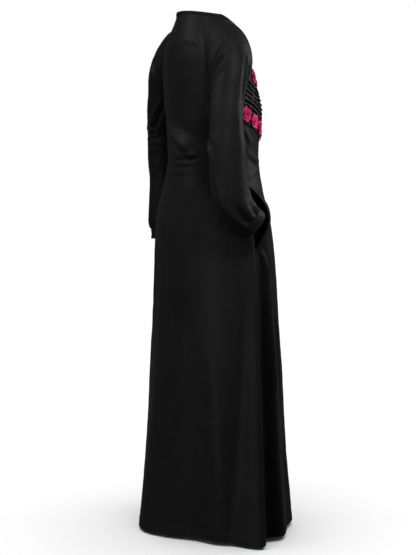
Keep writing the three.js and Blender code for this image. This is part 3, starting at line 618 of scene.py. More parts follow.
columns = gathered(PANEL_COLUMNS, [(0.05, 1.5, 0.1), (0.97, 0.6, 0.06)])
angle, height, grid, normal, out, (left, right, rise) = body_panel(True, columns, FRONT_CREASES, 47)
out = out * (1 - under_band(angle, height))
MOUTH_STITCHES = 9.0  # from the edge
mouths = (("right", left, POCKETS["right"]), ("left", right, POCKETS["left"]))
for _, far, pocket in mouths:
    slack = smooth(mouth(pocket, height) * 5) * (height < UNDERARM_Z)
    out += slack * (2.2 * bell((far - 3.5) / 3.6) - 0.6 * bell((far - MOUTH_STITCHES) / 1.6))
front_grid = grid + normal * out[..., None]
front = sew("front_cloth", front_grid, hemmed(rise), crepe)
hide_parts("front")
front_normal = outward_of(front_grid)
front_stitches = [stitching("front_hem_stitches", front_grid[hem_row], front_normal[hem_row])]
for name, far, pocket in mouths:
    z = height[:, 0]
    rows = np.flatnonzero((z < pocket.top + 8) & (z > pocket.bottom - 8))
    cols = [int(np.argmin(np.abs(far[r] - MOUTH_STITCHES))) for r in rows]
    run = front_grid[rows, cols]
    front_stitches.append(stitching(f"pocket_stitches_{name}", run, front_normal[rows, cols]))

# THE SLEEVES. Each is one piece from the neck to the wrist, set in by two raglan seams and closed by
# a seam under the arm, and gathered into its cuff. The right arm is bent to its pocket, so its sleeve
# is drawn into curved folds behind the shoulder and breaks at the elbow.
SHOULDER = [  # share of the way up, out, y, z of an arc's centre, lift, turn, half depth, reach
    (0, 202, 33, -216, 0, 12, 52, 42), (0.06, 200, 31, -205, 3, 12, 52, 42.5),
    (0.14, 196, 28, -190, 8, 11, 53, 43.5), (0.24, 189, 22, -170, 14, 9, 55, 46),
    (0.36, 177, 15, -145, 24, 6, 58, 49), (0.5, 160, 9, -117, 38, 4, 60, 52),
    (0.64, 138, 5, -92, 52, 2, 60, 56), (0.78, 112, 3, -72, 64, 0, 57, 59),
    (0.9, 88, 2, -60, 72, 0, 52, 57), (1, 88, 2, -60, 72, 0, 52, 57),
]
ARMS = {  # out, y, z, half depth, half width, turn to the back, from the underarm to the cuff
    "right": [
        (202, 33, -216, 52, 42, 12), (214, 42, -265, 51, 43, 14), (225, 50, -320, 50, 42, 14),
        (233, 55, -371, 52, 42, 12), (238, 53, -440, 51, 42, 8), (241, 43, -500, 54, 41, 4),
        (242, 16, -538, 49, 38, 0), (241, -8, -556, 40, 33, 0),
    ],
    "left": [
        (202, 33, -216, 52, 42, 12), (215, 28, -265, 52, 43, 12), (228, 22, -320, 51, 43, 10),
        (237, 17, -375, 51, 43, 8), (242, 11, -450, 50, 42, 4), (243, 8, -530, 53, 42, 0),
        (245, 11, -585, 52, 40, 0), (244, 12, -617, 41, 33, 0),
    ],
}
SIDES = {"right": (-1, -6, 4), "left": (1, 15, 8)}  # side, shoulder set back and out
GATHERS, GATHER_DEPTH, GATHER_RUN, PLEATS = 8, 3.2, 95.0, 23  # folds above the cuff, pleats in it
GIRTH, YOKE_LENGTH = 300.0, 225.0
SLEEVE_COLUMNS, ARM_ROWS, YOKE_ROWS = 101, 91, 54
# Paths here are (share round from the inside of the arm by its back, level): level is -1 at the
# cuff, 0 at the underarm and 1 at the neck.
SLEEVE_CREASES = {
    "right": [
        ([(0.04, 0.2), (0.1, 0.3), (0.19, 0.415), (0.28, 0.54), (0.42, 0.64)], (4, 7), -8),
        ([(0.09, 0.17), (0.16, 0.29), (0.25, 0.42), (0.36, 0.52)], (7, 9), 5.5),
        ([(0.15, 0.2), (0.21, 0.31), (0.3, 0.42), (0.39, 0.48)], (4, 6), -5.2),
        ([(0.2, 0.18), (0.27, 0.29), (0.35, 0.38)], (7, 10), 2.8),
        ([(0.03, 0.36), (0.1, 0.47), (0.19, 0.59), (0.3, 0.68)], (7, 6), 2.4),
        ([(0.05, 0.08), (0.09, -0.04), (0.12, -0.16)], (8, 7), -3),
        ([(0.1, 0.1), (0.15, -0.03), (0.18, -0.15)], (9, 8), 2.2),
        ([(0.62, 0.5), (0.625, 0.3), (0.63, 0.08), (0.63, -0.14)], (5, 7), 3.6),
        ([(0.67, 0.46), (0.68, 0.24), (0.68, 0), (0.675, -0.24)], (7, 9), -7),
        ([(0.74, 0.42), (0.75, 0.2), (0.74, 0)], (9, 9), 2.8),
        ([(0.69, 0.42), (0.7, 0.16), (0.7, -0.12), (0.69, -0.46)], (34, 30), -10),
        ([(0.1, -0.31), (0.19, -0.37), (0.27, -0.45), (0.33, -0.52)], (9, 6), 6),
        ([(0.09, -0.37), (0.18, -0.425), (0.25, -0.49)], (4, 7), -6.5),
        ([(0.12, -0.5), (0.2, -0.56), (0.25, -0.66), (0.27, -0.76)], (8, 7), 3.4),
        ([(0.1, -0.58), (0.16, -0.65), (0.2, -0.74)], (6, 7), -3.4),
        ([(0.3, -0.5), (0.33, -0.64), (0.36, -0.78), (0.38, -0.93)], (9, 7), 2.4),
        ([(0.455, -0.7), (0.45, -0.8), (0.44, -0.9), (0.44, -1)], (7, 7), -7.5),
        ([(0.39, -0.76), (0.39, -0.88), (0.39, -1)], (7, 6), 3),
        ([(0.53, -0.66), (0.52, -0.8), (0.515, -0.96)], (11, 8), 3.2),
        ([(0.42, -0.1), (0.41, -0.3), (0.43, -0.5), (0.46, -0.66)], (16, 14), 1.8),
        ([(0.52, -0.12), (0.53, -0.34), (0.55, -0.56)], (14, 16), -1.6),
        ([(0.9, -0.3), (0.84, -0.38), (0.78, -0.42), (0.7, -0.42)], (6, 8), -4.5),
        ([(0.92, -0.24), (0.85, -0.31), (0.77, -0.35), (0.69, -0.34)], (7, 6), 3.4),
        ([(0.9, -0.44), (0.83, -0.5), (0.76, -0.52)], (6, 7), 3),
        ([(0.8, -0.62), (0.74, -0.72), (0.7, -0.86)], (8, 7), -3),
    ],
    "left": [
        ([(0.09, 0.02), (0.16, -0.07), (0.22, -0.16), (0.27, -0.27)], (7, 5), 4),
        ([(0.06, -0.02), (0.13, -0.12), (0.19, -0.22), (0.23, -0.31)], (4, 7), -4.4),
        ([(0.1, -0.2), (0.19, -0.24), (0.29, -0.25), (0.38, -0.22)], (7, 6), 3.4),
        ([(0.08, -0.28), (0.18, -0.31), (0.29, -0.31), (0.38, -0.29)], (5, 7), -3.6),
        ([(0.14, -0.38), (0.22, -0.42), (0.32, -0.41)], (8, 7), 2.4),
        ([(0.16, -0.46), (0.2, -0.6), (0.22, -0.76)], (10, 8), 2.2),
        ([(0.3, -0.5), (0.33, -0.66), (0.35, -0.84)], (9, 8), -2.6),
        ([(0.46, -0.56), (0.46, -0.74), (0.47, -0.94)], (10, 8), 2.8),
        ([(0.62, -0.6), (0.61, -0.78), (0.6, -0.96)], (8, 8), -3.2),
        ([(0.05, 0.24), (0.1, 0.35), (0.18, 0.46), (0.28, 0.56)], (6, 8), -3.6),
        ([(0.1, 0.2), (0.17, 0.32), (0.27, 0.43)], (8, 9), 3),
        ([(0.95, 0.22), (0.9, 0.34), (0.82, 0.46), (0.74, 0.55)], (8, 6), -4),
        ([(0.9, 0.18), (0.84, 0.3), (0.75, 0.42)], (9, 8), 3.2),
        ([(0.84, 0.1), (0.79, -0.06), (0.77, -0.22)], (8, 10), -2.8),
        ([(0.9, -0.26), (0.82, -0.33), (0.72, -0.36)], (6, 8), -3.4),
        ([(0.9, -0.34), (0.82, -0.4), (0.73, -0.43)], (8, 7), 2.8),
        ([(0.54, 0.3), (0.55, 0.1), (0.55, -0.12)], (12, 12), 1.8),
    ],
}
NECKWARD = 0.86  # above this share the arcs run into the neck edge
shoulder_at = [curve(SHOULDER, i) for i in range(1, 8)]


def shoulder_arc(side, back, more, up, columns):
    """One arc of the upper sleeve, from the back raglan seam over the shoulder to the front one. Each
    end of it is brought onto its seam."""
    rear_angle, fore_angle = raglan_back(up) + SEAM_GAP, raglan_front(up) - SEAM_GAP
    if up >= 1:
        return body_cloth(-side * mix(rear_angle, fore_angle, columns), up)
    if up > NECKWARD:
        low, top = (shoulder_arc(side, back, more, u, columns) for u in (NECKWARD, 1))
        arc = mix(low, top, (up - NECKWARD) / (1 - NECKWARD))
        for seam, end, is_front in ((rear_angle, 0, False), (fore_angle, -1, True)):
            share = np.clip((2 * columns - 1) if is_front else (1 - 2 * columns), 0, 1)
            arc = arc + (body_cloth(-side * seam, up, is_front) - arc[end]) * (share**3)[:, None]
        return arc
    out, y, z, lift, turn, deep, wide = (read(up) for read in shoulder_at)
    share = smooth(up / 0.4) * (1 - smooth((up - 0.7) / 0.3))
    centre = np.array([side * (out + more * share), y + back * share, z])
    lift, turn = np.radians(lift), np.radians(turn)
    flat = np.cos(lift)
    middle = np.array([side * np.cos(turn) * flat, np.sin(turn) * flat, np.sin(lift)])
    rear = unit(np.array([0.0, 1.0, 0.0]) - middle * middle[1])

    def oval(turned):
        turned = np.asarray(turned)[..., None]
        return centre + middle * wide * np.cos(turned) + rear * deep * np.sin(turned)

    arcs = []
    share = np.abs(1 - 2 * columns)
    for seam, is_front in ((rear_angle, False), (fore_angle, True)):
        end = body_cloth(-side * seam, up, is_front)
        turned = abs(np.arctan2((end - centre) @ rear / deep, (end - centre) @ middle / wide))
        turned = -turned if is_front else turned
        arcs.append(oval(turned * share) + (end - oval(turned)) * (share**3)[:, None])
    return np.where((columns < 0.5)[:, None], *arcs)


def arm_line(side, stations):
    """The curve down the middle of a sleeve: centre, direction and sizes at any share of it."""
    knots = np.array([(side * s[0], s[1], s[2]) for s in stations], float)
    count = len(knots)
    ends = carried_on(knots)
    sizes = [(i / (count - 1), *s[3:]) for i, s in enumerate(stations)]
    deep, wide, turn = (curve(sizes, i) for i in (1, 2, 3))

    def point(share):
        t = np.clip(share, 0, 1) * (count - 1)
        i = min(int(t), count - 2)
        a, b, c, d = ends[i : i + 4]
        x, y, z = (np.linalg.norm(q - p) ** 0.5 for p, q in ((a, b), (b, c), (c, d)))
        m = ((b - a) / x - (c - a) / (x + y) + (c - b) / y) * y
        n = ((c - b) / y - (d - b) / (y + z) + (d - c) / z) * y
        t -= i
        return b + m * t + (3 * (c - b) - 2 * m - n) * t**2 + (2 * (b - c) + m + n) * t**3

    length = sum(np.linalg.norm(point((i + 1) / 99) - point(i / 99)) for i in range(99))

    def at(share):
        centre = point(share)
        down = unit(point(min(share + 1e-3, 1)) - point(max(share - 1e-3, 0)))
        turned = np.radians(turn(share))
        middle = np.array([side * np.cos(turned), np.sin(turned), 0.0])
        middle = unit(middle - down * (middle @ down))
        return centre, down, middle, np.cross(middle, down) * side, deep(share), wide(share)

    return at, length


def pleats(turned):
    return np.cos(PLEATS * turned + 1.7 * np.sin(3 * turned))


def sleeve_ring(at, length, share, columns):
    """One ring of the lower sleeve, level at the underarm, with the folds gathered into the cuff."""
    centre, _, middle, rear, deep, wide = at(share)
    level = smooth(share / 0.16)
    middle = unit(middle * [1, 1, level])
    rear = unit(rear * [1, 1, level])
    to_cuff = (1 - share) * length
    held = 1 - bell(to_cuff / 8)
    gather = GATHER_DEPTH * smooth(1 - to_cuff / GATHER_RUN) * mix(0.12, 1.15, held)
    turned = np.radians(179.9 * (1 - 2 * columns))
    fold = gather * np.cos(GATHERS * turned + 0.7 * np.sin(2 * turned))
    fold = fold + 2 * held * smooth(1 - to_cuff / 60)
    fold = fold + 1.1 * smooth(1 - to_cuff / 50) * pleats(turned)
    across, along = (wide + fold) * np.cos(turned), (deep + fold) * np.sin(turned)
    return centre + middle * across[:, None] + rear * along[:, None]


EASED = slice(ARM_ROWS - 16, -YOKE_ROWS + 29)  # rows that smoothing runs over, round the underarm
columns = np.linspace(0, 1, SLEEVE_COLUMNS)
shares, ups = np.linspace(1, 0, ARM_ROWS + 1)[:-1], np.linspace(0, 1, YOKE_ROWS)
levels = np.concatenate([-shares, ups])[:, None]
for name, (side, back_set, more) in SIDES.items():
    at, length = arm_line(side, ARMS[name])
    grid = np.array(
        [sleeve_ring(at, length, share, columns) for share in shares]
        + [shoulder_arc(side, back_set, more, up, columns) for up in ups]
    )
    near_seam = smooth(np.minimum(columns, 1 - columns) / 0.14)[:, None]
    for _ in range(40):
        below, above = grid[EASED.start - 1 : EASED.stop - 1], grid[EASED.start + 1 : EASED.stop + 1]
        grid[EASED] = mix(grid[EASED], (below + 2 * grid[EASED] + above) / 4, near_seam)
    x = np.broadcast_to((columns - 0.5) * GIRTH, grid.shape[:2])
    y = np.where(levels < 0, levels * length, levels * YOKE_LENGTH) + 0 * x
    out = 0.8 * unevenness(x, y, 95, 5 + side, 1.6) + 0.25 * unevenness(x, y, 34, 8 + side)
    for path, wide, depth in SLEEVE_CREASES[name]:
        flat = [((w - 0.5) * GIRTH, v * (length if v < 0 else YOKE_LENGTH)) for w, v in path]
        out = out + crease(x, y, flat, wide, depth)
    across, up = lengths(grid, 1), lengths(grid, 0)
    rear, fore = across, across[:, -1:] - across
    out = out * smooth((y + length) / 10) * smooth((1 - levels) / 0.08)
    out = out * smooth(np.minimum(rear, fore) / 12)
    for far in (rear, fore):
        out = out + seam(far, up, levels, 0.35, 2, 50, 3)
    if side > 0:
        grid, out = grid[:, ::-1], out[:, ::-1]
    away = outward_of(grid)
    for column, raglan in ((0, raglan_back), (-1, raglan_front)):
        column = column if side < 0 else -1 - column
        away[len(shares) :, column] = body_normal(-side * raglan(ups), ups)
    sleeve = sew(f"sleeve_{name}_cloth", grid + away * out[..., None], CLOTH, crepe)
    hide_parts(f"sleeve_{name}")

# THE CUFFS. A straight band of doubled crepe round each wrist that holds the sleeve's gathers, joined
# into a ring and topstitched near both edges.
CUFF_WIDTH, CUFF_THICK, CUFF_COLUMNS = 26.0, 2.2, 128
CUFF_STITCHES = {"upper": 3, "lower": 23}


def stitched_round(name, grid, row):
    """Stitches all round one row of a ring of cloth."""
    line, normal = grid[row], outward_of(grid, True)[row]
    return stitching(name, np.append(line, line[:1], 0), np.append(normal, normal[:1], 0), 2.8, 2.0)


for name, (side, _, _) in SIDES.items():
    at, length = arm_line(side, ARMS[name])
    centre, down, middle, rear, deep, wide = at(1)
    turned = -side * np.arange(CUFF_COLUMNS) / CUFF_COLUMNS * 2 * np.pi
    far = np.concatenate([[26, 25.6, 24.8], np.linspace(24, 2, 21), [1.2, 0.4, 0]])
    swell = np.sin(np.pi * far / CUFF_WIDTH)
    snug = 1.5 * swell + sum(0.5 * bell(far - row) for row in CUFF_STITCHES.values())
    snug = snug + 0.5 * (bell(far / 0.7) + bell((far - CUFF_WIDTH) / 0.7))
    size = 1.1 * np.exp(-far / 5)[:, None] * pleats(turned)
    size = size + 0.35 * np.sin(3 * turned + 1)[None, :] * swell[:, None] - snug[:, None]
    grid = centre + down * (0.2 + far)[:, None, None]
    grid = grid + middle * ((wide + size) * np.cos(turned))[..., None]
    grid = grid + rear * ((deep + size) * np.sin(turned))[..., None]
    cuff = sew(f"cuff_{name}_cloth", grid, CUFF_THICK, crepe, ring=True)
    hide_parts(f"cuff_{name}")
    lines = [
        stitched_round(f"cuff_{name}_{edge}_stitches", grid, int(np.argmin(np.abs(far - row))))
        for edge, row in CUFF_STITCHES.items()
    ]

# THE NECK BINDING. A bias strip of the same crepe folded over the neck edge all round and stitched
# down close to its lower edge.
BINDING, BINDING_COLUMNS = 9.0, 180
around = np.arange(BINDING_COLUMNS) * 360 / BINDING_COLUMNS
rise = np.concatenate([[0.3, 0.9, 1.6, 2.4], np.linspace(3.2, 8, 8), [8.5, 8.85, 9.0]])
edge = body_form(around, neck_height(around))
drawn_in = 1 + (0.6 - 0.1 * rise) / 90
roll = 0.75 * np.sin(np.pi * np.clip(rise / BINDING, 0, 1)) ** 0.6 - 0.35 * bell((rise - 1.6) / 0.7)
swell = 0.22 * unevenness(around[None, :] * 1.5, rise[:, None] * 4, 40, 21)
grid = edge[None] * np.stack([drawn_in, drawn_in, 1 + 0 * drawn_in], -1)[:, None, :]
grid[..., 2] = edge[None, :, 2] + rise[:, None]
grid = grid + unit(edge * [1, 1, 0])[None] * (roll[:, None] + swell)[..., None]
binding = sew("neck_binding_cloth", grid, 2.0, crepe, ring=True)
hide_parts("neck_binding")
binding_stitches = stitched_round("neck_binding_stitches", grid, 2)

# THE POCKET BAGS. Each hangs inside the front from its mouth in the side seam: two layers of crepe
# sewn round, open at the mouth. The right one gapes, as its mouth is drawn forward.
def pocket_bag(pocket):
    """Rings of the bag from its mouth to its bottom."""
    side, top, bottom, _, _, gape = pocket
    middle, half = (top + bottom) / 2, (top - bottom) / 2
    turned = np.arange(56) / 56 * 2 * np.pi
    around = np.abs(np.sin(turned)) ** 0.6
    grid = []
    for s in np.linspace(0, 1, 25):
        tall = half * 1.02 * (1 if s < 0.5 else (1 - ((s - 0.5) / 0.56) ** 2) ** 0.5)
        inset = 2.5 + 3.8 * smooth(s * 4)
        z = middle - 60 * smooth(s * 1.2) - tall * np.cos(turned)
        mouth_z = np.clip(z, bottom, top)
        fore = mouth_edge(pocket, mouth_z) + 0.6 + 40 * s
        rear = mix(seam_angle(mouth_z) - 0.6, fore, smooth(s * 2.2))
        near = np.sin(turned) >= 0
        at_angle = side * mix((fore + rear) / 2, np.where(near, fore, rear), around)
        deep = inset + np.where(near, 0, (gape * smooth(s * 4) * (1 - 0.5 * s) + 2) * around)
        deep = deep + 0.8 * unevenness(turned * 40, 250 * s + 0 * turned, 70, 31)
        level = (z - UNDERARM_Z) / (UNDERARM_Z - HEM_Z)
        of_front = near | (s > 0.2)
        back_side, front_side = (
            body_cloth(at_angle, level, f) - body_normal(at_angle, level, f) * deep[:, None]
            for f in (False, True)
        )
        grid.append(np.where(of_front[:, None], front_side, back_side))
    grid = np.array(grid)
    return grid[:, ::-1] if side > 0 else grid


for name, flat_area in (("right", 0.06), ("left", 0.042)):
    bag = sew(f"pocket_{name}_cloth", pocket_bag(POCKETS[name]), 0.7, crepe, ring=True, shut=True)
    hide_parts(f"pocket_{name}")

# THE CHEST BAND. A strip of crepe laid across the chest and stitched down along both edges, with six
# tucks across its middle. Each tuck is a fold of the strip that leans down over the next, and its
# edge waves.
TUCKS, TUCK_PITCH, BAND_LIFT, BAND_CLOTH = 6, 15.17, 0.9, 1.2
BORDER, BAND_STITCHES = 51.0, 4.0  # from its edges to the tucks and to the stitches
TUCK = [  # down from where the fold starts, out
    (0.4, 0.2), (2.6, 0.9), (5.2, 1.8), (7.8, 2.7), (10.2, 3.5), (12.2, 4.2), (13.6, 4.5),
    (14.5, 4.2), (14.7, 3.3), (14.2, 2.2), (13.9, 1.2), (14.3, 0.5),
]


def on_front(angle, z, out):
    """A point on the front by angle and height, moved out of its surface."""
    angle, z = np.broadcast_arrays(np.asarray(angle, float), np.asarray(z, float))
    tall = np.where(z <= UNDERARM_Z, UNDERARM_Z - HEM_Z, neck_height(angle) - UNDERARM_Z)
    level = (z - UNDERARM_Z) / tall
    out = np.asarray(out)[..., None]
    return body_cloth(angle, level, True) + body_normal(angle, level, True) * out


def band_reach(centre):
    """How far round the band runs on a row, clear of the raglan seams."""
    for off in np.arange(BAND["reach"], 20, -0.25):
        z = band_height(centre, off)
        if z <= UNDERARM_Z - 8:
            return off
        if z < UNDERARM_Z:
            continue
        if off < 180 - raglan_front((z - UNDERARM_Z) / (neck_height(180 + off) - UNDERARM_Z)) - 2.5:
            return off
    return 20.0


def border_rows(last):
    """How far the rows of a border lie from the band's edge."""
    return [0, 0.8, 2.4, 4, 6, *np.linspace(9, last, 13)]


tall = BAND["top"] - BAND["bottom"]
rows = [(down, 0.0, None) for down in border_rows(BORDER - 3)]  # down, out, which tuck
rows += [(BORDER + i * TUCK_PITCH + down, out, i) for i in range(TUCKS) for down, out in TUCK]
rows += [(tall - down, 0.0, None) for down in border_rows(BORDER - 2)[::-1]]
rows.reverse()
columns = np.linspace(-1, 1, 221)
grid, under = [], []
for down, out, tuck in rows:
    centre = BAND["top"] - down
    reach = band_reach(centre)
    off = reach * columns
    run = off * 2.5
    if tuck is None:
        edge = min(down, tall - down)
        out = 0.35 * bell((edge - 8) / 4) - 0.5 * bell((edge - BAND_STITCHES) / 1.1)
        out = out - 0.5 * np.exp(-edge / 0.8)
        out = out + 0.25 * unevenness(run, down, 60, 63) * smooth(edge / 12)
    else:
        wave = 1.25 * np.sin(run / 2.3 + 1.9 * tuck + 0.8 * np.sin(run / 17))
        wave = wave + 0.7 * np.sin(run / 4.9 + 4.1 * tuck + 1)
        share = out / 4.5
        centre = centre - share * (wave * 1.5 + 1.3 * unevenness(run, 30.0 * tuck, 70, 61))
        frill = 1.6 * np.sin(run / 2.7 + 2.6 * tuck) + 0.9 * np.sin(run / 6.1 + tuck)
        out = out + share * frill
    side_edge = (1 - np.abs(columns)) * reach * 2.5
    out = out * (0.25 + 0.75 * smooth(side_edge / 10)) - 0.5 * np.exp(-side_edge / 0.8)
    z = band_height(centre, off)
    grid.append(on_front(180 + off, z, BAND_LIFT + BAND_CLOTH + out))
    under.append(on_front(180 + off, z, BAND_LIFT - 0.2 + 0 * z))
grid = np.array(grid)
band = sew("chest_band_cloth", grid, BAND_CLOTH, crepe, under=np.array(under))
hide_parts("chest_band")
band_normal = outward_of(grid)
for name, down in (("upper", BAND_STITCHES), ("lower", tall - BAND_STITCHES)):
    r = int(np.argmin([abs(row[0] - down) for row in rows]))
    stitching(f"band_{name}_stitches", grid[r][2:-2], band_normal[r][2:-2])

# THE FLOWERS. Appliques of raspberry felt and organza sewn flat to the chest band, six above the
# tucks and ten below: six broad petals, five smaller ones over them, and a dark knotted middle.
FLOWER_RADIUS = 22.4
FLOWER_ROWS = {  # how many have a node, more at each end, height at the centre front, pitch
    "upper": (6, 0, -198, 50.0), "lower": (8, 1, -340, 47.0),
}


def petal_felt():
    """Raspberry felt, darker towards the middle, with a painted highlight that pales the lips of the
    petals.
    """
    finish, place = new_finish("petal_felt")
    lip = place.node("Attribute", {"attribute_name": "lip"}, out=2)
    fibre, patch = place.noise(1900.0, 3.0, Roughness=0.65), place.noise(160.0, 2.0)
    deep = (patch * 0.5 + fibre * 0.5).blend((0.36, 0.002, 0.04, 1.0), (0.66, 0.006, 0.095, 1.0))
    pale = fibre.blend((0.74, 0.015, 0.15, 1.0), (0.86, 0.06, 0.27, 1.0))
    # Painted highlight: the share of the pale colour grows towards the lips of the petals.
    share = lip**2.2 * 0.7 + (patch - 0.5) * 0.3
    place.surface(
        Base_Color=share.blend(deep, pale, clamp_factor=True), Roughness=0.62 + fibre * 0.2,
        Normal=place.node("Bump", Height=fibre, Strength=0.5, Distance=0.0004),
        Specular_IOR_Level=0.08, Sheen_Weight=0.05, Sheen_Roughness=0.5,
        Sheen_Tint=(1.0, 0.4, 0.6, 1.0),
    )
    return finish


felt = petal_felt()


def petal(turn, long, wide, base, rise, curl, seed):
    """A petal's top side: rounded, cupped along its middle, with a gently waved lip."""
    along, across = np.linspace(0, 1, 9)[:, None], np.linspace(-1, 1, 9)[None, :]
    reach = long * (0.12 + 0.88 * along * (1 - 0.14 * across**2 * along))
    half = wide * (0.22 + 0.8 * np.sin(np.pi * along * 0.56) ** 0.9)
    half = half * (1 - 0.36 * smooth((along - 0.78) / 0.22))
    x, y = half * across, reach + 0 * across
    y = y - 0.13 * long * along**3 * np.abs(across) ** 2
    wave = np.sin(across * 4.2 + seed * 1.7) * 0.45 + np.sin(across * 7.5 + seed) * 0.2
    lift = base + rise * np.sin(np.pi * 0.5 * along) * (1 - 0.35 * across**2)
    lift = lift - 0.9 * bell(across / 0.16) * (1 - along)
    lift = lift + curl * along**2 * (0.4 + across**2) + wave * along**2
    c, s = np.cos(turn), np.sin(turn)
    lip = np.maximum(along, np.abs(across) * along) + 0 * across
    return x * c + y * s, y * c - x * s, lift, lip


def flower(name, off, centre, turn, seed, paler):
    """A flower off degrees from the centre front, of petals and a middle laid on the chest band."""
    z0 = band_height(centre, off)
    base = BAND_LIFT + BAND_CLOTH + 0.2
    a, b = on_front(np.array([180.5 + off, 179.5 + off]), z0, np.array([base, base]))
    per_degree = np.linalg.norm(a - b)
    points, faces, lip_highlights, slots, count = [], [], [], [], 0

    def add(x, y, lift, lip, thick, slot, ring=False):
        nonlocal count
        angle, z = 180 + off + x / per_degree, z0 + y
        points.append(on_front(angle, z, base + lift).reshape(-1, 3))
        points.append(on_front(angle, z, np.maximum(base + lift - thick, base)).reshape(-1, 3))
        lip_highlights.extend([lip.ravel(), lip.ravel()])
        below = x.size
        top, loops = squares(count + np.arange(below).reshape(x.shape), ring)
        made = [top, top[:, ::-1] + below]
        for loop in loops:
            one, two = loop[:-1], loop[1:]
            made.append(np.stack([two, one, one + below, two + below], -1))
        made = np.concatenate(made)
        faces.extend(made.tolist())
        slots.extend([slot] * len(made))
        count += 2 * below

    for i in range(6):
        size = 1 + 0.06 * np.sin(seed * 2.3 + i * 1.9)
        long, wide, low = FLOWER_RADIUS * 0.97 * size, 10.6 * size, 0.5 + 0.35 * (i % 2)
        add(*petal(turn + i * np.pi / 3, long, wide, low, 2.3, 0.5, seed + i), 0.55, 0)
    for i in range(5):
        size = 1 + 0.07 * np.sin(seed * 1.1 + i * 2.3)
        long, wide, low = 12.6 * size, 6.6 * size, 2.5 + 0.3 * (i % 2)
        add(*petal(turn + 0.4 + i * np.pi * 0.4, long, wide, low, 2.0, 1.5, seed + 9 + i), 0.5, 0)
    around = np.arange(24) / 24 * 2 * np.pi
    far = np.array([3.5, 3.3, 2.7, 1.8, 0.9, 0.15])[:, None]
    knots = np.cos(6 * around)
    x, y = (far * part(around) * (1 + 0.1 * knots) for part in (np.cos, np.sin))
    lift = 3.2 + 2.1 * np.sqrt(np.clip(1 - (far / 3.6) ** 2, 0, 1)) + 0.3 * knots * (far / 3.5)
    add(x, y, lift, 0 * x, 2.2, 1, ring=True)
    made = piece(name, np.concatenate(points), faces, felt, thread)
    made.data.polygons.foreach_set("material_index", slots)
    # The lip attribute carries the painted highlight share of each point, raised on the paler
    # flowers.
    lip = made.data.attributes.new("lip", "FLOAT", "POINT")
    lip.data.foreach_set("value", np.concatenate(lip_highlights) + paler)
    return made


for row_name, (count, beyond, centre, pitch) in FLOWER_ROWS.items():
    off = np.arange(0, 88, 0.1)
    along = on_front(180 + off, band_height(centre, off), BAND_CLOTH + 0 * off)
    run = run_along(along)
    for i in range(1 - beyond, count + beyond + 1):
        away = (i - (count + 1) / 2) * pitch
        place = np.sign(away) * np.interp(abs(away), run, off)
        paler = 0.45 if (i + (row_name == "lower")) % 3 == 2 else 0
        seed = i + (row_name == "lower") * 6
        made = flower(f"flower_{row_name}_{i}_petals", place, centre, i * 0.7, seed, paler)
        if 1 <= i <= count:
            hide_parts(f"flower_{row_name}_{i}")

# THE ROOM. A plain pale floor just under the hem, which a sun lights alone, in a pale surround. Soft
# boxes light the garment: one high behind it, one over its right arm with the front kept out of that
# one's light, and others low behind, beside the arm, and in front.
FLOOR_Z, FLOOR_REACH = -1.484, 30.0


def pale_floor():
    finish, place = new_finish("pale_floor")
    patch = place.noise(2.0, 3.0)
    place.surface(
        Base_Color=patch.blend((0.86, 0.86, 0.86, 1.0), (0.9, 0.9, 0.9, 1.0)),
        Roughness=0.75 + patch * 0.1, Specular_IOR_Level=0.2,
    )
    return finish


floor_mesh = bpy.data.meshes.new("floor")
corners = ((-1, -1), (1, -1), (1, 1), (-1, 1))
corners = [(x * FLOOR_REACH, y * FLOOR_REACH, FLOOR_Z) for x, y in corners]
floor_mesh.from_pydata(corners, [], [(0, 1, 2, 3)])
floor_mesh.materials.append(pale_floor())
floor = bpy.data.objects.new("floor", floor_mesh)
bpy.context.scene.collection.objects.link(floor)
floor.visible_diffuse = floor.visible_glossy = False

world = bpy.data.worlds.new("surround")
world.use_nodes = True
world.node_tree.nodes.clear()
seen = Wire(world.node_tree).node("LightPath")
pale = seen.node("Background", Color=(1.0, 1.0, 1.0, 1.0), Strength=seen * 0.86 + 0.14)
seen.node("OutputWorld", Surface=pale)
bpy.context.scene.world = world
bpy.context.scene.view_settings.view_transform = "Standard"

garment, behind = bpy.data.collections.new("garment"), bpy.data.collections.new("behind")
for made in bpy.context.scene.collection.objects:
    if made.type == "MESH" and made != floor:
        garment.objects.link(made)
        if made.name.startswith(("back", "sleeve", "cuff", "neck")):
            behind.objects.link(made)


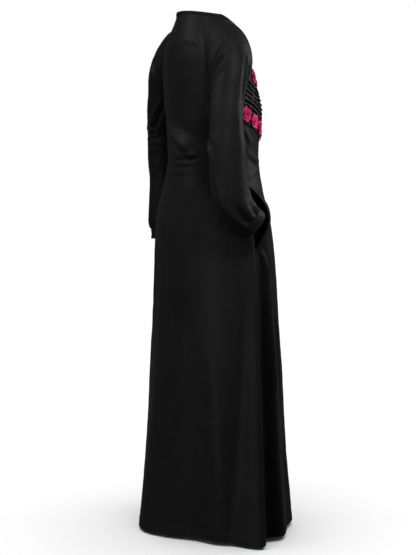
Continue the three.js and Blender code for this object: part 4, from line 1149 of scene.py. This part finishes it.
def soft_box(name, azimuth, elevation, far, width, height, power, aim, spread=180, onto=garment):
    """A square lamp aimed at a point from some way off. It lights up one collection only."""
    a, e = np.radians(azimuth), np.radians(elevation)
    away = np.array([np.sin(a) * np.cos(e), -np.cos(a) * np.cos(e), np.sin(e)])
    light = bpy.data.lights.new(name, "AREA")
    light.shape, light.size, light.size_y, light.energy = "RECTANGLE", width, height, power
    light.spread = np.radians(spread)
    lamp = bpy.data.objects.new(name, light)
    lamp.location = np.array(aim) + away * far
    lamp.rotation_euler = Vector(away).to_track_quat("Z", "Y").to_euler()
    lamp.light_linking.receiver_collection = onto
    bpy.context.scene.collection.objects.link(lamp)


soft_box("key", 169, 46, 3.2, 1.3, 1.3, 76, (0.0, 0.0, -0.6))
soft_box("over_arm", 268, 49, 3.0, 0.45, 0.45, 84, (-0.1, 0.05, -0.5), onto=behind)
soft_box("fill", 214, 6, 3.4, 1.2, 1.2, 8, (0.0, 0.0, -1.2), spread=75)
soft_box("arm", 262, 14, 1.7, 0.4, 0.6, 0.8, (-0.22, 0.0, -0.4), spread=50)
soft_box("rim", 350, 16, 1.8, 0.6, 1.0, 30, (0.0, 0.0, -0.2))
sun = bpy.data.lights.new("over_floor", "SUN")
sun.energy, sun.angle = 3.5, np.radians(80)
over_floor = bpy.data.objects.new("over_floor", sun)
bpy.context.scene.collection.objects.link(over_floor)
lit = bpy.data.collections.new("lit_from_above")
lit.objects.link(floor)
over_floor.light_linking.receiver_collection = lit

PHOTO_HEIGHT, FOCUS, SENSOR = 555, 1303, 36.0  # pixels, pixels, mm
TILT, SHIFT = 141.5, 3  # the aim below the middle and to its side, pixels
camera = bpy.data.objects.new("camera", bpy.data.cameras.new("camera"))
bearing, away = np.radians(242), 3.8
camera.location = (away * np.sin(bearing), -away * np.cos(bearing), -0.33)
dip, yaw = np.arctan(TILT / FOCUS), np.arctan(SHIFT / FOCUS)
camera.rotation_euler = (np.pi / 2 - dip, 0.0, bearing - yaw)
camera.data.sensor_width, camera.data.lens = SENSOR, SENSOR * FOCUS / PHOTO_HEIGHT
bpy.context.scene.collection.objects.link(camera)
bpy.context.scene.camera = camera
